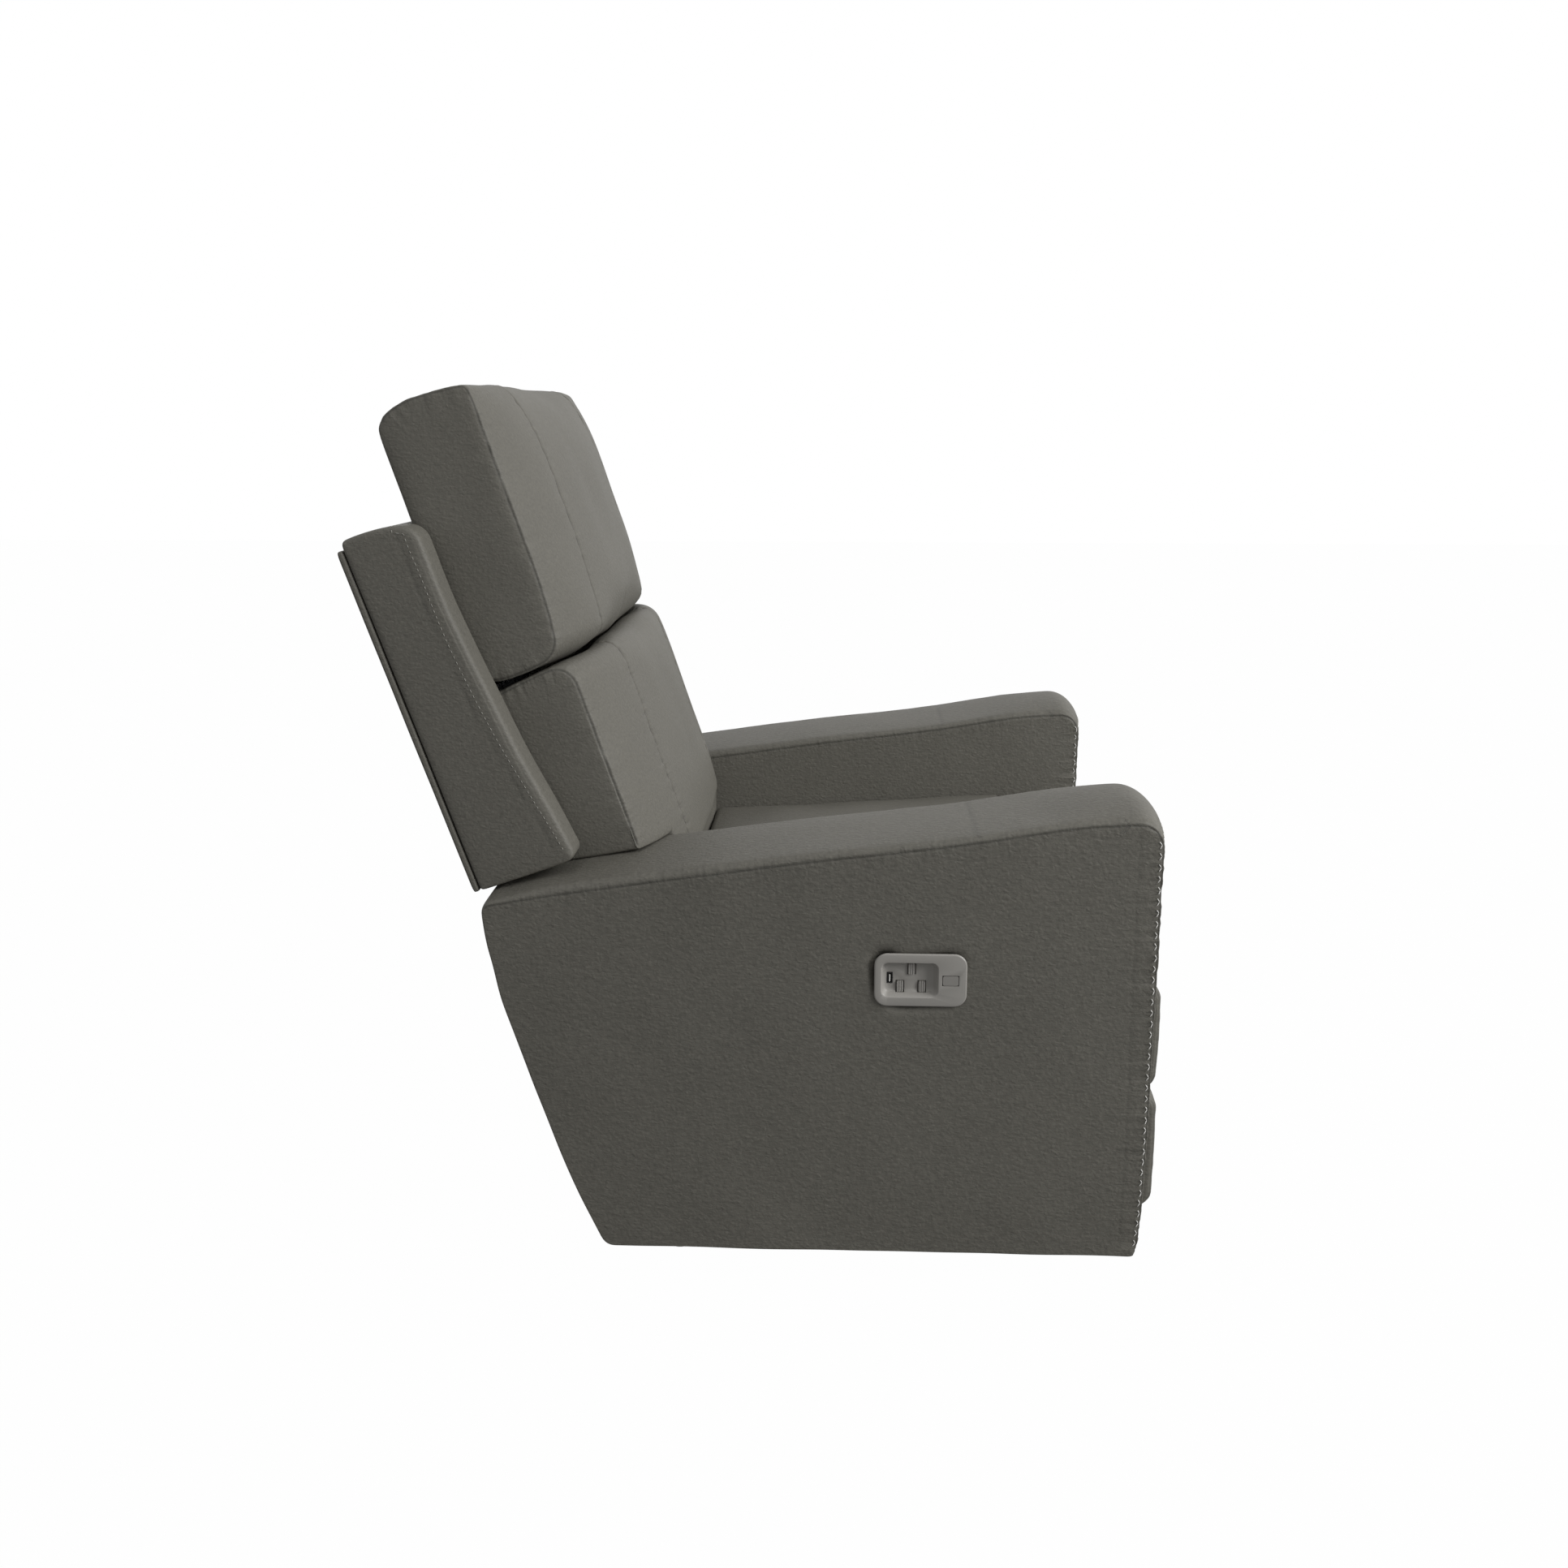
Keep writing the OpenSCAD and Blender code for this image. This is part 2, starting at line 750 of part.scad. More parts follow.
// Padded strip that closes the top of the back between the wings
module back_top_pad() {
    low = top_rail_up + back_rail_h + seat_gap;
    high = wing_foot + wing_h - 2;
    y0 = back_panel_t + seat_gap;
    half_w = wing_frame_x - seat_gap;
    color("dimgray") back_place() plate(-half_w, 2 * half_w, [
        [y0, low], [head_rear - 9, low], [head_rear - 9, high - 6],
        [head_rear - 15, high], [y0 + 8, high], [y0, high - 8]
    ]);
}

// Places across a crowned face, as shares of its half width
crown_steps = [0.3, 0.6, 0.82];

// Swell of a back cushion's face at a distance from the chair's middle
function swell(x) = cushion_crown * (1 - pow(x / (cushion_w / 2), 4));

// A cushion block in the back's frame: flat sides with round front edges and a crowned face
module cushion_block(half_w, rear, front, foot, top) {
    r = cushion_edge_r;
    hull() {
        for (x = [-half_w, half_w - 1], z = [foot + 6, top - 6])
            translate([x, front + swell(half_w) - 6, z]) rotate([0, 90, 0])
                cylinder(h = 1, r = 6, $fn = blend_fn);
        for (s = crown_steps, side = [-1, 1], z = [foot + r, top - r])
            translate([side * s * half_w - 0.5, front + swell(s * half_w) - r, z]) rotate([0, 90, 0])
                cylinder(h = 1, r = r, $fn = blend_fn);
        translate([-half_w, rear, foot]) cube([2 * half_w, 1, top - foot]);
    }
}

module lumbar_cushion() {
    top = head_foot - 5;
    low_half_w = inner_x - seat_side_gap - 2;
    narrow_up = -160;
    seat_clear = 3;
    color("dimgray") difference() {
        back_place() difference() {
            union() {
                cushion_block(cushion_w / 2, cushion_rear, cushion_front, lumbar_step, top);
                cushion_block(low_half_w, cushion_rear, cushion_front, lumbar_foot, lumbar_step + 30);
            }
            mirrored() translate([back_bracket_x - 4, cushion_rear - 1, lumbar_foot - 1])
                cube([40, 200, narrow_up - lumbar_foot]);
            disc(-cushion_w, 2 * cushion_w, [tilt_in, tilt_up], tilt_r + 2);
        }
        translate([-cushion_w / 2, seat_rear_y - 100 + seat_clear, seat_frame_z - 50])
            cube([cushion_w, 100, seat_rear_z + 80 - seat_frame_z]);
    }
}

// ---- headrest ------------------------------------------------------------------------

module headrest_brackets() {
    root = [rail_in + back_rail_t + seat_gap, top_rail_up];
    color("dimgray") back_place() mirrored() difference() {
        union() {
            disc(tilt_arm_x, link_t, [tilt_in, tilt_up], 13);
            plate(tilt_arm_x, link_t, [
                [tilt_in - 11, tilt_up - 7], [tilt_in + 10, tilt_up + 8],
                [root[0] + 12, root[1] + 36], [root[0], root[1] + 36], [root[0], root[1]]
            ]);
            translate([tilt_arm_x - 26, root[0], root[1]]) cube([26 + link_t, 3, 36]);
        }
        bores(tilt_arm_x, link_t, [[tilt_in, tilt_up]]);
    }
}

module headrest_arms() {
    x = tilt_arm_x + link_t + 2;
    y = head_rear - seat_gap - 2.5;
    color("dimgray") back_place() mirrored() difference() {
        union() {
            disc(x, link_t, [tilt_in, tilt_up], 13);
            plate(x, link_t, [
                [tilt_in - 2, tilt_up - 13], [tilt_in + 6, tilt_up + 11],
                [y, tilt_up + 44], [y, tilt_up - 40]
            ]);
            translate([x, y, tilt_up - 40]) cube([40, 2.5, 84]);
        }
        bores(x, link_t, [[tilt_in, tilt_up]]);
    }
}

board_half_w = cushion_w / 2 - 40;
board_foot = tilt_up - 60;
head_board_t = 12;

module headrest_board() {
    color("burlywood") back_place() difference() {
        translate([-board_half_w, head_rear, board_foot])
            cube([2 * board_half_w, head_board_t, head_top - 30 - board_foot]);
        mirrored() translate([tilt_arm_x - 8, head_rear - 1, tilt_up - 44])
            cube([22, head_board_t + 2, 148]);
    }
}

module headrest_pins() {
    x = tilt_arm_x + link_t + 2;
    color("silver") back_place() mirrored()
        pin([tilt_in, tilt_up], tilt_arm_x - 0.1, x + link_t + 0.1, tilt_arm_x + link_t + 0.1, x - 0.1);
}

module head_cushion() {
    pocket = head_rear + head_board_t + seat_gap;
    color("dimgray") back_place() difference() {
        hull() {
            for (x = [-cushion_w / 2, cushion_w / 2 - 1]) translate([x, 0, 0]) {
                translate([0, cushion_front - 6, head_top - 12]) rotate([0, 90, 0])
                    cylinder(h = 1, r = 8, $fn = blend_fn);
                translate([0, cushion_front - 13, head_foot + 22]) rotate([0, 90, 0])
                    cylinder(h = 1, r = 10, $fn = blend_fn);
                translate([0, head_rear + 12, head_top - 12]) rotate([0, 90, 0])
                    cylinder(h = 1, r = 12, $fn = blend_fn);
                translate([0, head_rear + 24, head_foot + 26]) rotate([0, 90, 0])
                    cylinder(h = 1, r = 24, $fn = blend_fn);
                translate([0, tilt_in + 20, head_foot + 4]) rotate([0, 90, 0])
                    cylinder(h = 1, r = 8, $fn = blend_fn);
            }
            for (s = crown_steps, side = [-1, 1]) translate([side * s * cushion_w / 2 - 0.5, 0, 0]) {
                face = cushion_front + swell(s * cushion_w / 2);
                translate([0, face - 20, head_top - 30]) rotate([0, 90, 0])
                    cylinder(h = 1, r = 20, $fn = blend_fn);
                translate([0, face - 24, head_foot + 70]) rotate([0, 90, 0])
                    cylinder(h = 1, r = 24, $fn = blend_fn);
            }
        }
        translate([-board_half_w - seat_gap, head_rear - 20, board_foot - seat_gap])
            cube([2 * (board_half_w + seat_gap), 20 + head_board_t + seat_gap, head_top - 30 - board_foot + 2 * seat_gap]);
        mirrored() translate([tilt_arm_x - 10, pocket - 1, tilt_up - 44])
            cube([24, head_pocket_d, 148]);
    }
}

// ---- legrest linkage -----------------------------------------------------------------

module crank_links() {
    color("dimgray") mirrored() link(outer_link_x, crank_top, elbow, [elbow_drag]);
}

module follower_links() {
    color("dimgray") mirrored() link(outer_link_x, follower_top, elbow_follower);
}

module front_links() {
    color("dimgray") mirrored() link(inner_link_x, elbow, foot_pivot, [elbow_follower]);
}

module drag_links() {
    color("dimgray") mirrored() link(inner_link_x, elbow_drag, foot_drag);
}

module link_pins(pivots) {
    color("silver") mirrored() for (at = pivots)
        pin(at, inner_link_x - 0.1, outer_link_x + link_t + 0.1, inner_link_x + link_t + 0.1, outer_link_x - 0.1);
}

module crank_pins() {
    link_pins([elbow, elbow_drag]);
}

module front_link_pins() {
    link_pins([elbow_follower]);
}

module legrest_bracket_pins() {
    link_pins([foot_pivot, foot_drag]);
}

module legrest_torque_tube() {
    half = outer_link_x - seat_gap;
    color("dimgray") difference() {
        disc(-half, 2 * half, crank_top, tube_r + 1);
        disc(-half - 1, 2 * half + 2, crank_top, tube_r - 1.5);
    }
}

module legrest_brackets() {
    flange_y = board_rear_y + 0.2;
    low = foot_pivot[1] - 75;
    color("dimgray") mirrored() difference() {
        union() {
            bar(outer_link_x, link_t, foot_pivot, foot_drag, link_w, link_waist);
            plate(outer_link_x, link_t, [
                [flange_y, low], [flange_y + 6, low], [foot_pivot[0] + 8, foot_pivot[1] - 6],
                [foot_pivot[0] + 3, foot_pivot[1] + 9], [flange_y, foot_pivot[1] + 28]
            ]);
            translate([board_x - 26, flange_y, low + 2])
                cube([outer_link_x - board_x + 26 + link_t / 2, 3, foot_pivot[1] - 16 - low]);
        }
        bores(outer_link_x, link_t, [foot_pivot, foot_drag]);
    }
}

module legrest_board() {
    color("burlywood") translate([-board_x, pad_rear_y + seat_gap, legrest_z + 8])
        cube([2 * board_x, legrest_board_t, upper_pad_h + lower_pad_h - 18]);
}

// A legrest pad: flat behind, rounded in front
module legrest_pad(z0, h, front) {
    r = 24;
    crown = 4;
    color("dimgray") along_x(-pad_half_w, 2 * pad_half_w) hull() {
        for (z = [z0 + r, z0 + h - r]) translate([front + crown + r, z]) circle(r = r, $fn = blend_fn);
        translate([front + r + crown, z0 + h / 2]) circle(r = r + crown, $fn = blend_fn);
        translate([pad_rear_y - 1, z0 + 4]) square([1, h - 8]);
    }
}

module legrest_pad_upper() {
    legrest_pad(legrest_z + lower_pad_h + 2, upper_pad_h, front_y + 3);
}

module legrest_pad_lower() {
    legrest_pad(legrest_z, lower_pad_h, front_y);
}

arm_frame_right();
arm_frame_left();
arm_cover_right();
arm_cover_left();
base_rail_front();
base_rail_rear();
feet();
guide_plates();
control_bezel();
control_housing();
usb_port();
power_inlet();
button_upper();
button_lower_left();
button_lower_right();
home_button();
seat_side_plates();
guide_rollers();
seat_rail_front();
seat_rail_rear();
seat_side_rails();
seat_springs();
seat_cushion();
seat_cross_tube();
legrest_pivot_pins();
back_hinge_pins();
back_brackets();
back_posts();
back_rail_bottom();
back_rail_middle();
back_rail_lumbar();
back_rail_top();
back_webbing();
wing_frames();
wing_right();
wing_left();
back_outer_panel();
back_top_pad();
lumbar_cushion();
headrest_brackets();
headrest_arms();
headrest_board();
headrest_pins();
head_cushion();
crank_links();
legrest_torque_tube();
crank_pins();
follower_links();
front_links();
front_link_pins();
drag_links();
legrest_brackets();
legrest_bracket_pins();
legrest_board();
legrest_pad_upper();
legrest_pad_lower();
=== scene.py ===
import json
from math import cos, pi, radians, sin

import bmesh
import bpy
import numpy as np
from mathutils import Matrix, Vector, noise
from mathutils.bvhtree import BVHTree
from mathutils.kdtree import KDTree


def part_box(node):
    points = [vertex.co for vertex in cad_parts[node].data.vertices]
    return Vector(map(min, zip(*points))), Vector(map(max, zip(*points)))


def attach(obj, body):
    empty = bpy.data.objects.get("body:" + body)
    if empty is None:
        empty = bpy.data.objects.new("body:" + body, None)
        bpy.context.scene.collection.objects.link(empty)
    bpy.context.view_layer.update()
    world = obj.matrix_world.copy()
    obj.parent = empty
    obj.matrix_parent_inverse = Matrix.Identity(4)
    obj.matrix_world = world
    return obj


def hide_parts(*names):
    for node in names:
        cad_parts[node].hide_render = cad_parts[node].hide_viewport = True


bl_info = {
    "name": "Recliner Armchair",
    "version": (1, 0, 0),
    "blender": (4, 5, 0),
    "location": "3D View > Sidebar > Recliner",
    "description": "Upholstery, control plate, finishes and studio for a power recliner",
    "category": "Add Mesh",
}

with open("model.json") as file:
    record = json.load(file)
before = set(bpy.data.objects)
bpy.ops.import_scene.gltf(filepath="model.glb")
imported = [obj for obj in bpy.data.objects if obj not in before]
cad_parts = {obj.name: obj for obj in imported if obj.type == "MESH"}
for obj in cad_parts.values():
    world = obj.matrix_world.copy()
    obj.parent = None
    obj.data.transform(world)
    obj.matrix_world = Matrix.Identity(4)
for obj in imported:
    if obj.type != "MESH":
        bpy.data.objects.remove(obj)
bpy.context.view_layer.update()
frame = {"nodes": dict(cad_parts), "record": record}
MM = 0.001


def corners(node):
    """Lowest and highest corner of a frame solid, in metres."""
    return [np.array(corner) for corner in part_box(node)]


def solid(node):
    """Lowest and highest corner of a frame solid, in millimetres."""
    return [corner / MM for corner in corners(node)]


def middle(node):
    low, high = solid(node)
    return (low + high) / 2


# ---- sizes and finishes that a user would change ----


def length(name, text, default):
    return bpy.props.FloatProperty(
        name=name, description=text, default=default * MM, unit="LENGTH", precision=4)


def colour(name, text, default):
    return bpy.props.FloatVectorProperty(
        name=name, description=text, default=default, size=3, min=0.0, max=1.0, subtype="COLOR")


class UpholsterySizes(bpy.types.PropertyGroup):
    crown: length("Crown", "How far the back cushions swell in the middle", 38)
    plump: length("Plump", "Most that the filling may push a cover outwards", 9)
    seat_crown: length("Seat crown", "Rise of the seat in its middle", 14)
    arm_rise: length("Arm rise", "Height of the arm's top pad over its seam", 10)
    arm_swell: length("Arm swell", "How far the arm's front pad swells", 9)
    seam_depth: length("Seam depth", "Depth of a sewn seam", 0.7)
    pucker: length("Pucker", "Height of the small folds beside a seam", 1.3)
    arm_stitch: length("Arm stitch", "Length of one stitch on the arms", 9.3)
    wing_stitch: length("Wing stitch", "Length of one stitch on the wings", 3.9)


class ChairColours(bpy.types.PropertyGroup):
    leather: colour("Leather", "Colour of the hide", (0.135, 0.129, 0.11))
    thread: colour("Arm thread", "Colour of the thick arm thread", (0.82, 0.81, 0.78))
    fine_thread: colour("Wing thread", "Colour of the fine wing thread", (0.46, 0.45, 0.41))
    control: colour("Control plate", "Colour of the control plate", (0.33, 0.318, 0.295))
    timber: colour("Timber", "Colour of the rails", (0.52, 0.36, 0.2))
    plywood: colour("Plywood", "Colour of the boards", (0.56, 0.4, 0.23))
    steel: colour("Steel", "Colour of the bright steel", (0.56, 0.56, 0.55))
    paint: colour("Steel paint", "Colour of the painted mechanism", (0.03, 0.03, 0.032))


class StudioSettings(bpy.types.PropertyGroup):
    key: bpy.props.FloatProperty(
        name="Key lamp", description="Power of the lamp in front", default=206.0, subtype="POWER")
    ambient: bpy.props.FloatProperty(
        name="Ambient", description="Strength of the light from all round", default=0.305)
    floor: colour("Floor", "Colour of the studio floor", (0.25, 0.25, 0.25))


def size(name):
    """A size that a user can change, in millimetres."""
    return getattr(bpy.context.scene.recliner_sizes, name) / MM


# ---- the frame's own directions ----

LEAN = radians(19)
HINGE = middle("back_hinge_pins")[1:]
HINGE_IN, HINGE_UP = 32.0, -180.0
TILT = middle("headrest_pins")[1:]


def on_back(p, x):
    """Points given as (distance in front of the back's rear face, height up the back)."""
    b, a = p[:, 0] - HINGE_IN, p[:, 1] - HINGE_UP
    y = HINGE[0] + a * sin(LEAN) - b * cos(LEAN)
    z = HINGE[1] + a * cos(LEAN) + b * sin(LEAN)
    return np.column_stack([np.full(len(p), x), y, z])


TILT_AT = np.array((
    HINGE_IN - (TILT[0] - HINGE[0]) * cos(LEAN) + (TILT[1] - HINGE[1]) * sin(LEAN),
    HINGE_UP + (TILT[0] - HINGE[0]) * sin(LEAN) + (TILT[1] - HINGE[1]) * cos(LEAN)))


def upright(p, x):
    """Points given as (y, z)."""
    return np.column_stack([np.full(len(p), x), p[:, 0], p[:, 1]])


# ---- outlines ----


def curve(points, step=1.0):
    """A smooth line through the points."""
    p = np.array(points, float)
    q = np.vstack([2 * p[0] - p[1], p, 2 * p[-1] - p[-2]])
    out = []
    for i in range(1, len(q) - 2):
        n = max(2, int(np.linalg.norm(q[i + 1] - q[i]) / step))
        t = np.linspace(0, 1, n, endpoint=False)[:, None]
        out.append(0.5 * (2 * q[i] + (q[i + 1] - q[i - 1]) * t
                          + (2 * q[i - 1] - 5 * q[i] + 4 * q[i + 1] - q[i + 2]) * t ** 2
                          + (3 * q[i] - q[i - 1] - 3 * q[i + 1] + q[i + 2]) * t ** 3))
    return np.vstack(out + [p[-1:]])


def run_of(line):
    """The distance along a line at each of its points."""
    return np.concatenate([[0], np.cumsum(np.linalg.norm(np.diff(line, axis=0), axis=1))])


def at(line, s):
    """Points of a line at given distances along it."""
    run = run_of(line)
    return np.column_stack([np.interp(s, run, line[:, k]) for k in range(line.shape[1])])


def outline(sides, radii, counts, pull=0.45):
    """A closed ring of points round the sides, rounded where they meet, closer together at the
    corners. radii[i] rounds the corner before side i. Each side gets counts[i] cells."""
    lines = [curve(s) for s in sides]
    cut = []
    for i, line in enumerate(lines):
        whole = run_of(line)[-1]
        s = np.linspace(radii[i], whole - radii[(i + 1) % len(lines)], max(4, int(whole)))
        cut.append(at(line, s))
    arcs = []
    for i in range(len(lines)):
        a, b, c = cut[i - 1][-1], lines[i][0], cut[i][0]
        t = np.linspace(0, 1, 25)[:, None]
        k = 0.55
        p1, p2 = a + (b - a) * k, c + (b - c) * k
        arcs.append((1 - t) ** 3 * a + 3 * (1 - t) ** 2 * t * p1 + 3 * (1 - t) * t ** 2 * p2 + t ** 3 * c)
    ring = []
    for i in range(len(lines)):
        after = arcs[(i + 1) % len(lines)]
        line = np.vstack([arcs[i][12:], cut[i][1:-1], after[:13]])
        t = np.linspace(0, 1, counts[i], endpoint=False)
        t = t - pull * np.sin(2 * pi * t) / (2 * pi)
        ring.append(at(line, t * run_of(line)[-1]))
    return np.vstack(ring)


def outwards(ring):
    """The outward direction at each point of a closed ring."""
    d = np.roll(ring, -1, 0) - np.roll(ring, 1, 0)
    n = np.column_stack([d[:, 1], -d[:, 0]])
    n /= np.maximum(np.linalg.norm(n, axis=1), 1e-9)[:, None]
    area = np.sum(ring[:, 0] * np.roll(ring[:, 1], -1) - np.roll(ring[:, 0], -1) * ring[:, 1])
    return n if area > 0 else -n


def fill_ring(ring, counts):
    """A grid of points that fills a four-sided ring."""
    c = np.concatenate([[0], np.cumsum(counts)])
    ring = np.vstack([ring, ring[:1]])
    south, east = ring[c[0]:c[1] + 1], ring[c[1]:c[2] + 1]
    north, west = ring[c[2]:c[3] + 1][::-1], ring[c[3]:c[4] + 1][::-1]
    u = np.linspace(0, 1, counts[0] + 1)[:, None, None]
    v = np.linspace(0, 1, counts[1] + 1)[None, :, None]
    return ((1 - v) * south[:, None] + v * north[:, None] + (1 - u) * west[None] + u * east[None]
            - (1 - u) * (1 - v) * south[0] - u * (1 - v) * south[-1]
            - (1 - u) * v * north[0] - u * v * north[-1])


def across(x0, x1, step):
    """Even places between two places, without the two."""
    n = max(1, round(abs(x1 - x0) / step))
    return list(np.linspace(x0, x1, n + 1)[1:-1])


class Cover:
    """A closed upholstered form: an outline carried across the width, closed by two side
    panels. The outline is a ring of points, or a function that gives one for a place. The
    cover keeps the numbers of its points, so that seams can be found again."""

    def __init__(self, name, ring_at, counts, stations, place, swell, side_swell=0.0):
        self.name = name
        self.stations = stations
        self.corner = c = np.concatenate([[0], np.cumsum(counts)])
        around, rows = c[-1], len(stations)
        points, faces, flat = [], [], []
        for x in stations:
            ring = ring_at(x) if callable(ring_at) else ring_at
            flat.append(ring + swell(ring, outwards(ring), x))
            points.append(place(flat[-1], x))
        self.ring = np.arange(rows * around).reshape(rows, around)
        for a, b in zip(self.ring[:-1], self.ring[1:]):
            faces += [(a[i], a[(i + 1) % around], b[(i + 1) % around], b[i]) for i in range(around)]
        base = rows * around
        self.caps = []
        nu, nv = counts[:2]
        for k in (0, -1):
            x = stations[k]
            sign = 1.0 if x > stations[-1 - k] else -1.0
            grid = fill_ring(flat[k], counts)
            index = -np.ones((nu + 1, nv + 1), int)
            r = np.append(self.ring[k], self.ring[k][0])
            index[:, 0] = r[c[0]:c[1] + 1]
            index[nu, :] = r[c[1]:c[2] + 1]
            index[::-1, nv] = r[c[2]:c[3] + 1]
            index[0, ::-1] = r[c[3]:c[4] + 1]
            inner = grid[1:-1, 1:-1].reshape(-1, 2)
            index[1:-1, 1:-1] = base + np.arange(len(inner)).reshape(nu - 1, nv - 1)
            base += len(inner)
            u = np.linspace(-1, 1, nu + 1)[1:-1, None]
            v = np.linspace(-1, 1, nv + 1)[None, 1:-1]
            p = place(inner, x)
            p[:, 0] += sign * ((1 - u ** 4) * (1 - v ** 4)).reshape(-1) * side_swell
            points.append(p)
            faces += [(index[i, j], index[i + 1, j], index[i + 1, j + 1], index[i, j + 1])
                      for i in range(nu) for j in range(nv)]
            self.caps.append(index)
        self.obj = new_mesh(name, np.vstack(points), faces)

    def points(self):
        return read(self.obj.data, "co") / MM

    def row(self, x):
        """The numbers of the ring at a place across the form."""
        return self.ring[int(np.argmin([abs(s - x) for s in self.stations]))]

    def rims(self, count):
        """The numbers of both side panels and of the outermost rings beside them."""
        parts = (*self.caps, self.ring[:count], self.ring[-count:])
        return np.concatenate([part.ravel() for part in parts])

    def along(self, index):
        """The path through points of the cover, by number."""
        return self.points()[np.array(index)]


def new_mesh(name, points, faces):
    """A smooth mesh in the scene, from points in millimetres."""
    mesh = bpy.data.meshes.new(name)
    mesh.from_pydata([tuple(p) for p in points * MM], [], [tuple(int(i) for i in f) for f in faces])
    work = bmesh.new()
    work.from_mesh(mesh)
    bmesh.ops.recalc_face_normals(work, faces=work.faces)
    work.to_mesh(mesh)
    work.free()
    mesh.polygons.foreach_set("use_smooth", [True] * len(mesh.polygons))
    obj = bpy.data.objects.new(name, mesh)
    bpy.context.collection.objects.link(obj)
    return obj


def pick(obj):
    bpy.ops.object.select_all(action="DESELECT")
    obj.select_set(True)
    bpy.context.view_layer.objects.active = obj


def apply(obj, kind, **values):
    """Puts a modifier on an object and applies it."""
    pick(obj)
    modifier = obj.modifiers.new(kind, kind)
    for key, value in values.items():
        setattr(modifier, key, value)
    bpy.ops.object.modifier_apply(modifier=modifier.name)


def move_points(obj, points):
    obj.data.vertices.foreach_set("co", (points * MM).ravel())
    obj.data.update()


def read(mesh, name):
    """One value of three numbers for each point of a mesh."""
    values = np.empty(len(mesh.vertices) * 3)
    mesh.vertices.foreach_get(name, values)
    return values.reshape(-1, 3)


CLOTH = {
    "quality": 6, "mass": 0.35, "tension_stiffness": 18, "compression_stiffness": 18,
    "shear_stiffness": 8, "bending_stiffness": 3.0, "tension_damping": 12, "compression_damping": 12,
    "shear_damping": 12, "air_damping": 3, "vertex_group_mass": "held", "use_pressure": True,
    "uniform_pressure_force": 4.0}
CLOTH_STEPS = 20


def stuff(cover, held, limit):
    """Fills a cover under pressure as cloth, held where it is sewn or rests on its frame."""
    obj, scene = cover.obj, bpy.context.scene
    group = obj.vertex_groups.new(name="held")
    group.add([int(i) for i in np.unique(np.concatenate(held))], 1.0, "REPLACE")
    cloth = obj.modifiers.new("Filling", "CLOTH")
    for key, value in CLOTH.items():
        setattr(cloth.settings, key, value)
    cloth.settings.effector_weights.gravity = 0
    cloth.collision_settings.use_collision = False
    for step in range(1, CLOTH_STEPS + 1):
        scene.frame_set(step)
    after = read(obj.evaluated_get(bpy.context.evaluated_depsgraph_get()).to_mesh(), "co") / MM
    before = cover.points()
    obj.modifiers.remove(cloth)
    obj.vertex_groups.remove(group)
    scene.frame_set(1)
    move = after - before
    far = np.linalg.norm(move, axis=1)
    move *= (limit * np.tanh(far / limit) / np.maximum(far, 1e-6))[:, None]
    move_points(obj, before + move)


PLAIN = (0.0, 4.0, 1.0, 0.0)  # what a seam without folds has in place of their four values
SEAM_SHADE_WIDTH = 1.5  # how far from a seam its material paints shade into the colour
UNEVEN_SIZE = 90.0  # how broad the slow unevenness of a cover is


def sew(cover, seams):
    """Presses seams into a finished cover, and marks them for its material: a darker line of painted shade
    along each seam's groove, and folds that the material both bumps and paints with shade and light.
    A seam is (path, depth, half width), with (pucker height, pucker reach, pucker length, seed) where it
    draws folds. A path is the numbers of the cover's points, or a function of the cover."""
    obj = cover.obj
    painted_seam_shade, gather, along = np.zeros((3, len(obj.data.vertices)))
    paths = [path(cover) if callable(path) else cover.along(path) for path, *_ in seams]
    for path, (_, depth, width, *folds) in zip(paths, seams):
        height, reach, pitch, seed = folds or PLAIN
        co, n = cover.points(), read(obj.data, "normal")
        line = at(path, np.arange(0, run_of(path)[-1], 1.0))
        tree = KDTree(len(line))
        for i, p in enumerate(line):
            tree.insert(p, i)
        tree.balance()
        low, high = line.min(0) - reach * 2.5, line.max(0) + reach * 2.5
        near = np.nonzero(np.all((co > low) & (co < high), axis=1))[0]
        if len(near) == 0:
            continue
        found = [tree.find(co[i]) for i in near]
        t = np.array([f[1] for f in found], float)
        d = np.array([f[2] for f in found])
        side = np.sign(np.einsum("ij,ij->i", co[near] - line[t.astype(int)],
                                 np.cross(n[near], np.gradient(line, axis=0)[t.astype(int)])))
        drop = -depth * np.exp(-(d / width) ** 2)
        if height:
            wave = np.array([noise.noise((a / pitch, seed + 7.3 * s, 0.0))
                             + 0.6 * noise.noise((a / pitch * 2.1, seed + 31.7 * s, 0.0))
                             for a, s in zip(t, side)])
            fade = np.exp(-(d / reach) ** 1.4)
            drop += height * wave * fade * (1 - 0.6 * np.exp(-(d / width) ** 2))
            pull = height / 1.3 * fade
            tighter = pull > gather[near]
            gather[near[tighter]] = pull[tighter]
            along[near[tighter]] = t[tighter] + 400 * seed
        co[near] += n[near] * drop[:, None]
        move_points(obj, co)
        # Painted shade: this mark darkens the colour along the seam's groove, and the material reads it as
        # 'sewn'.
        painted_seam_shade[near] = np.maximum(painted_seam_shade[near], min(1.0, 1.4 * depth) * np.exp(-(d / SEAM_SHADE_WIDTH) ** 2))
    for name, values in (("sewn", painted_seam_shade), ("gather", gather), ("along", along)):
        obj.data.attributes.new(name, "FLOAT", "POINT").data.foreach_set("value", values)


def soften(cover, height, seed):
    """Gives a cover the slow unevenness of leather over foam."""
    co, n = cover.points(), read(cover.obj.data, "normal")
    lift = np.array([noise.noise(Vector(p / UNEVEN_SIZE) + Vector((seed, 0, 0))) for p in co])
    move_points(cover.obj, co + n * (height * lift)[:, None])


# ---- thread ----


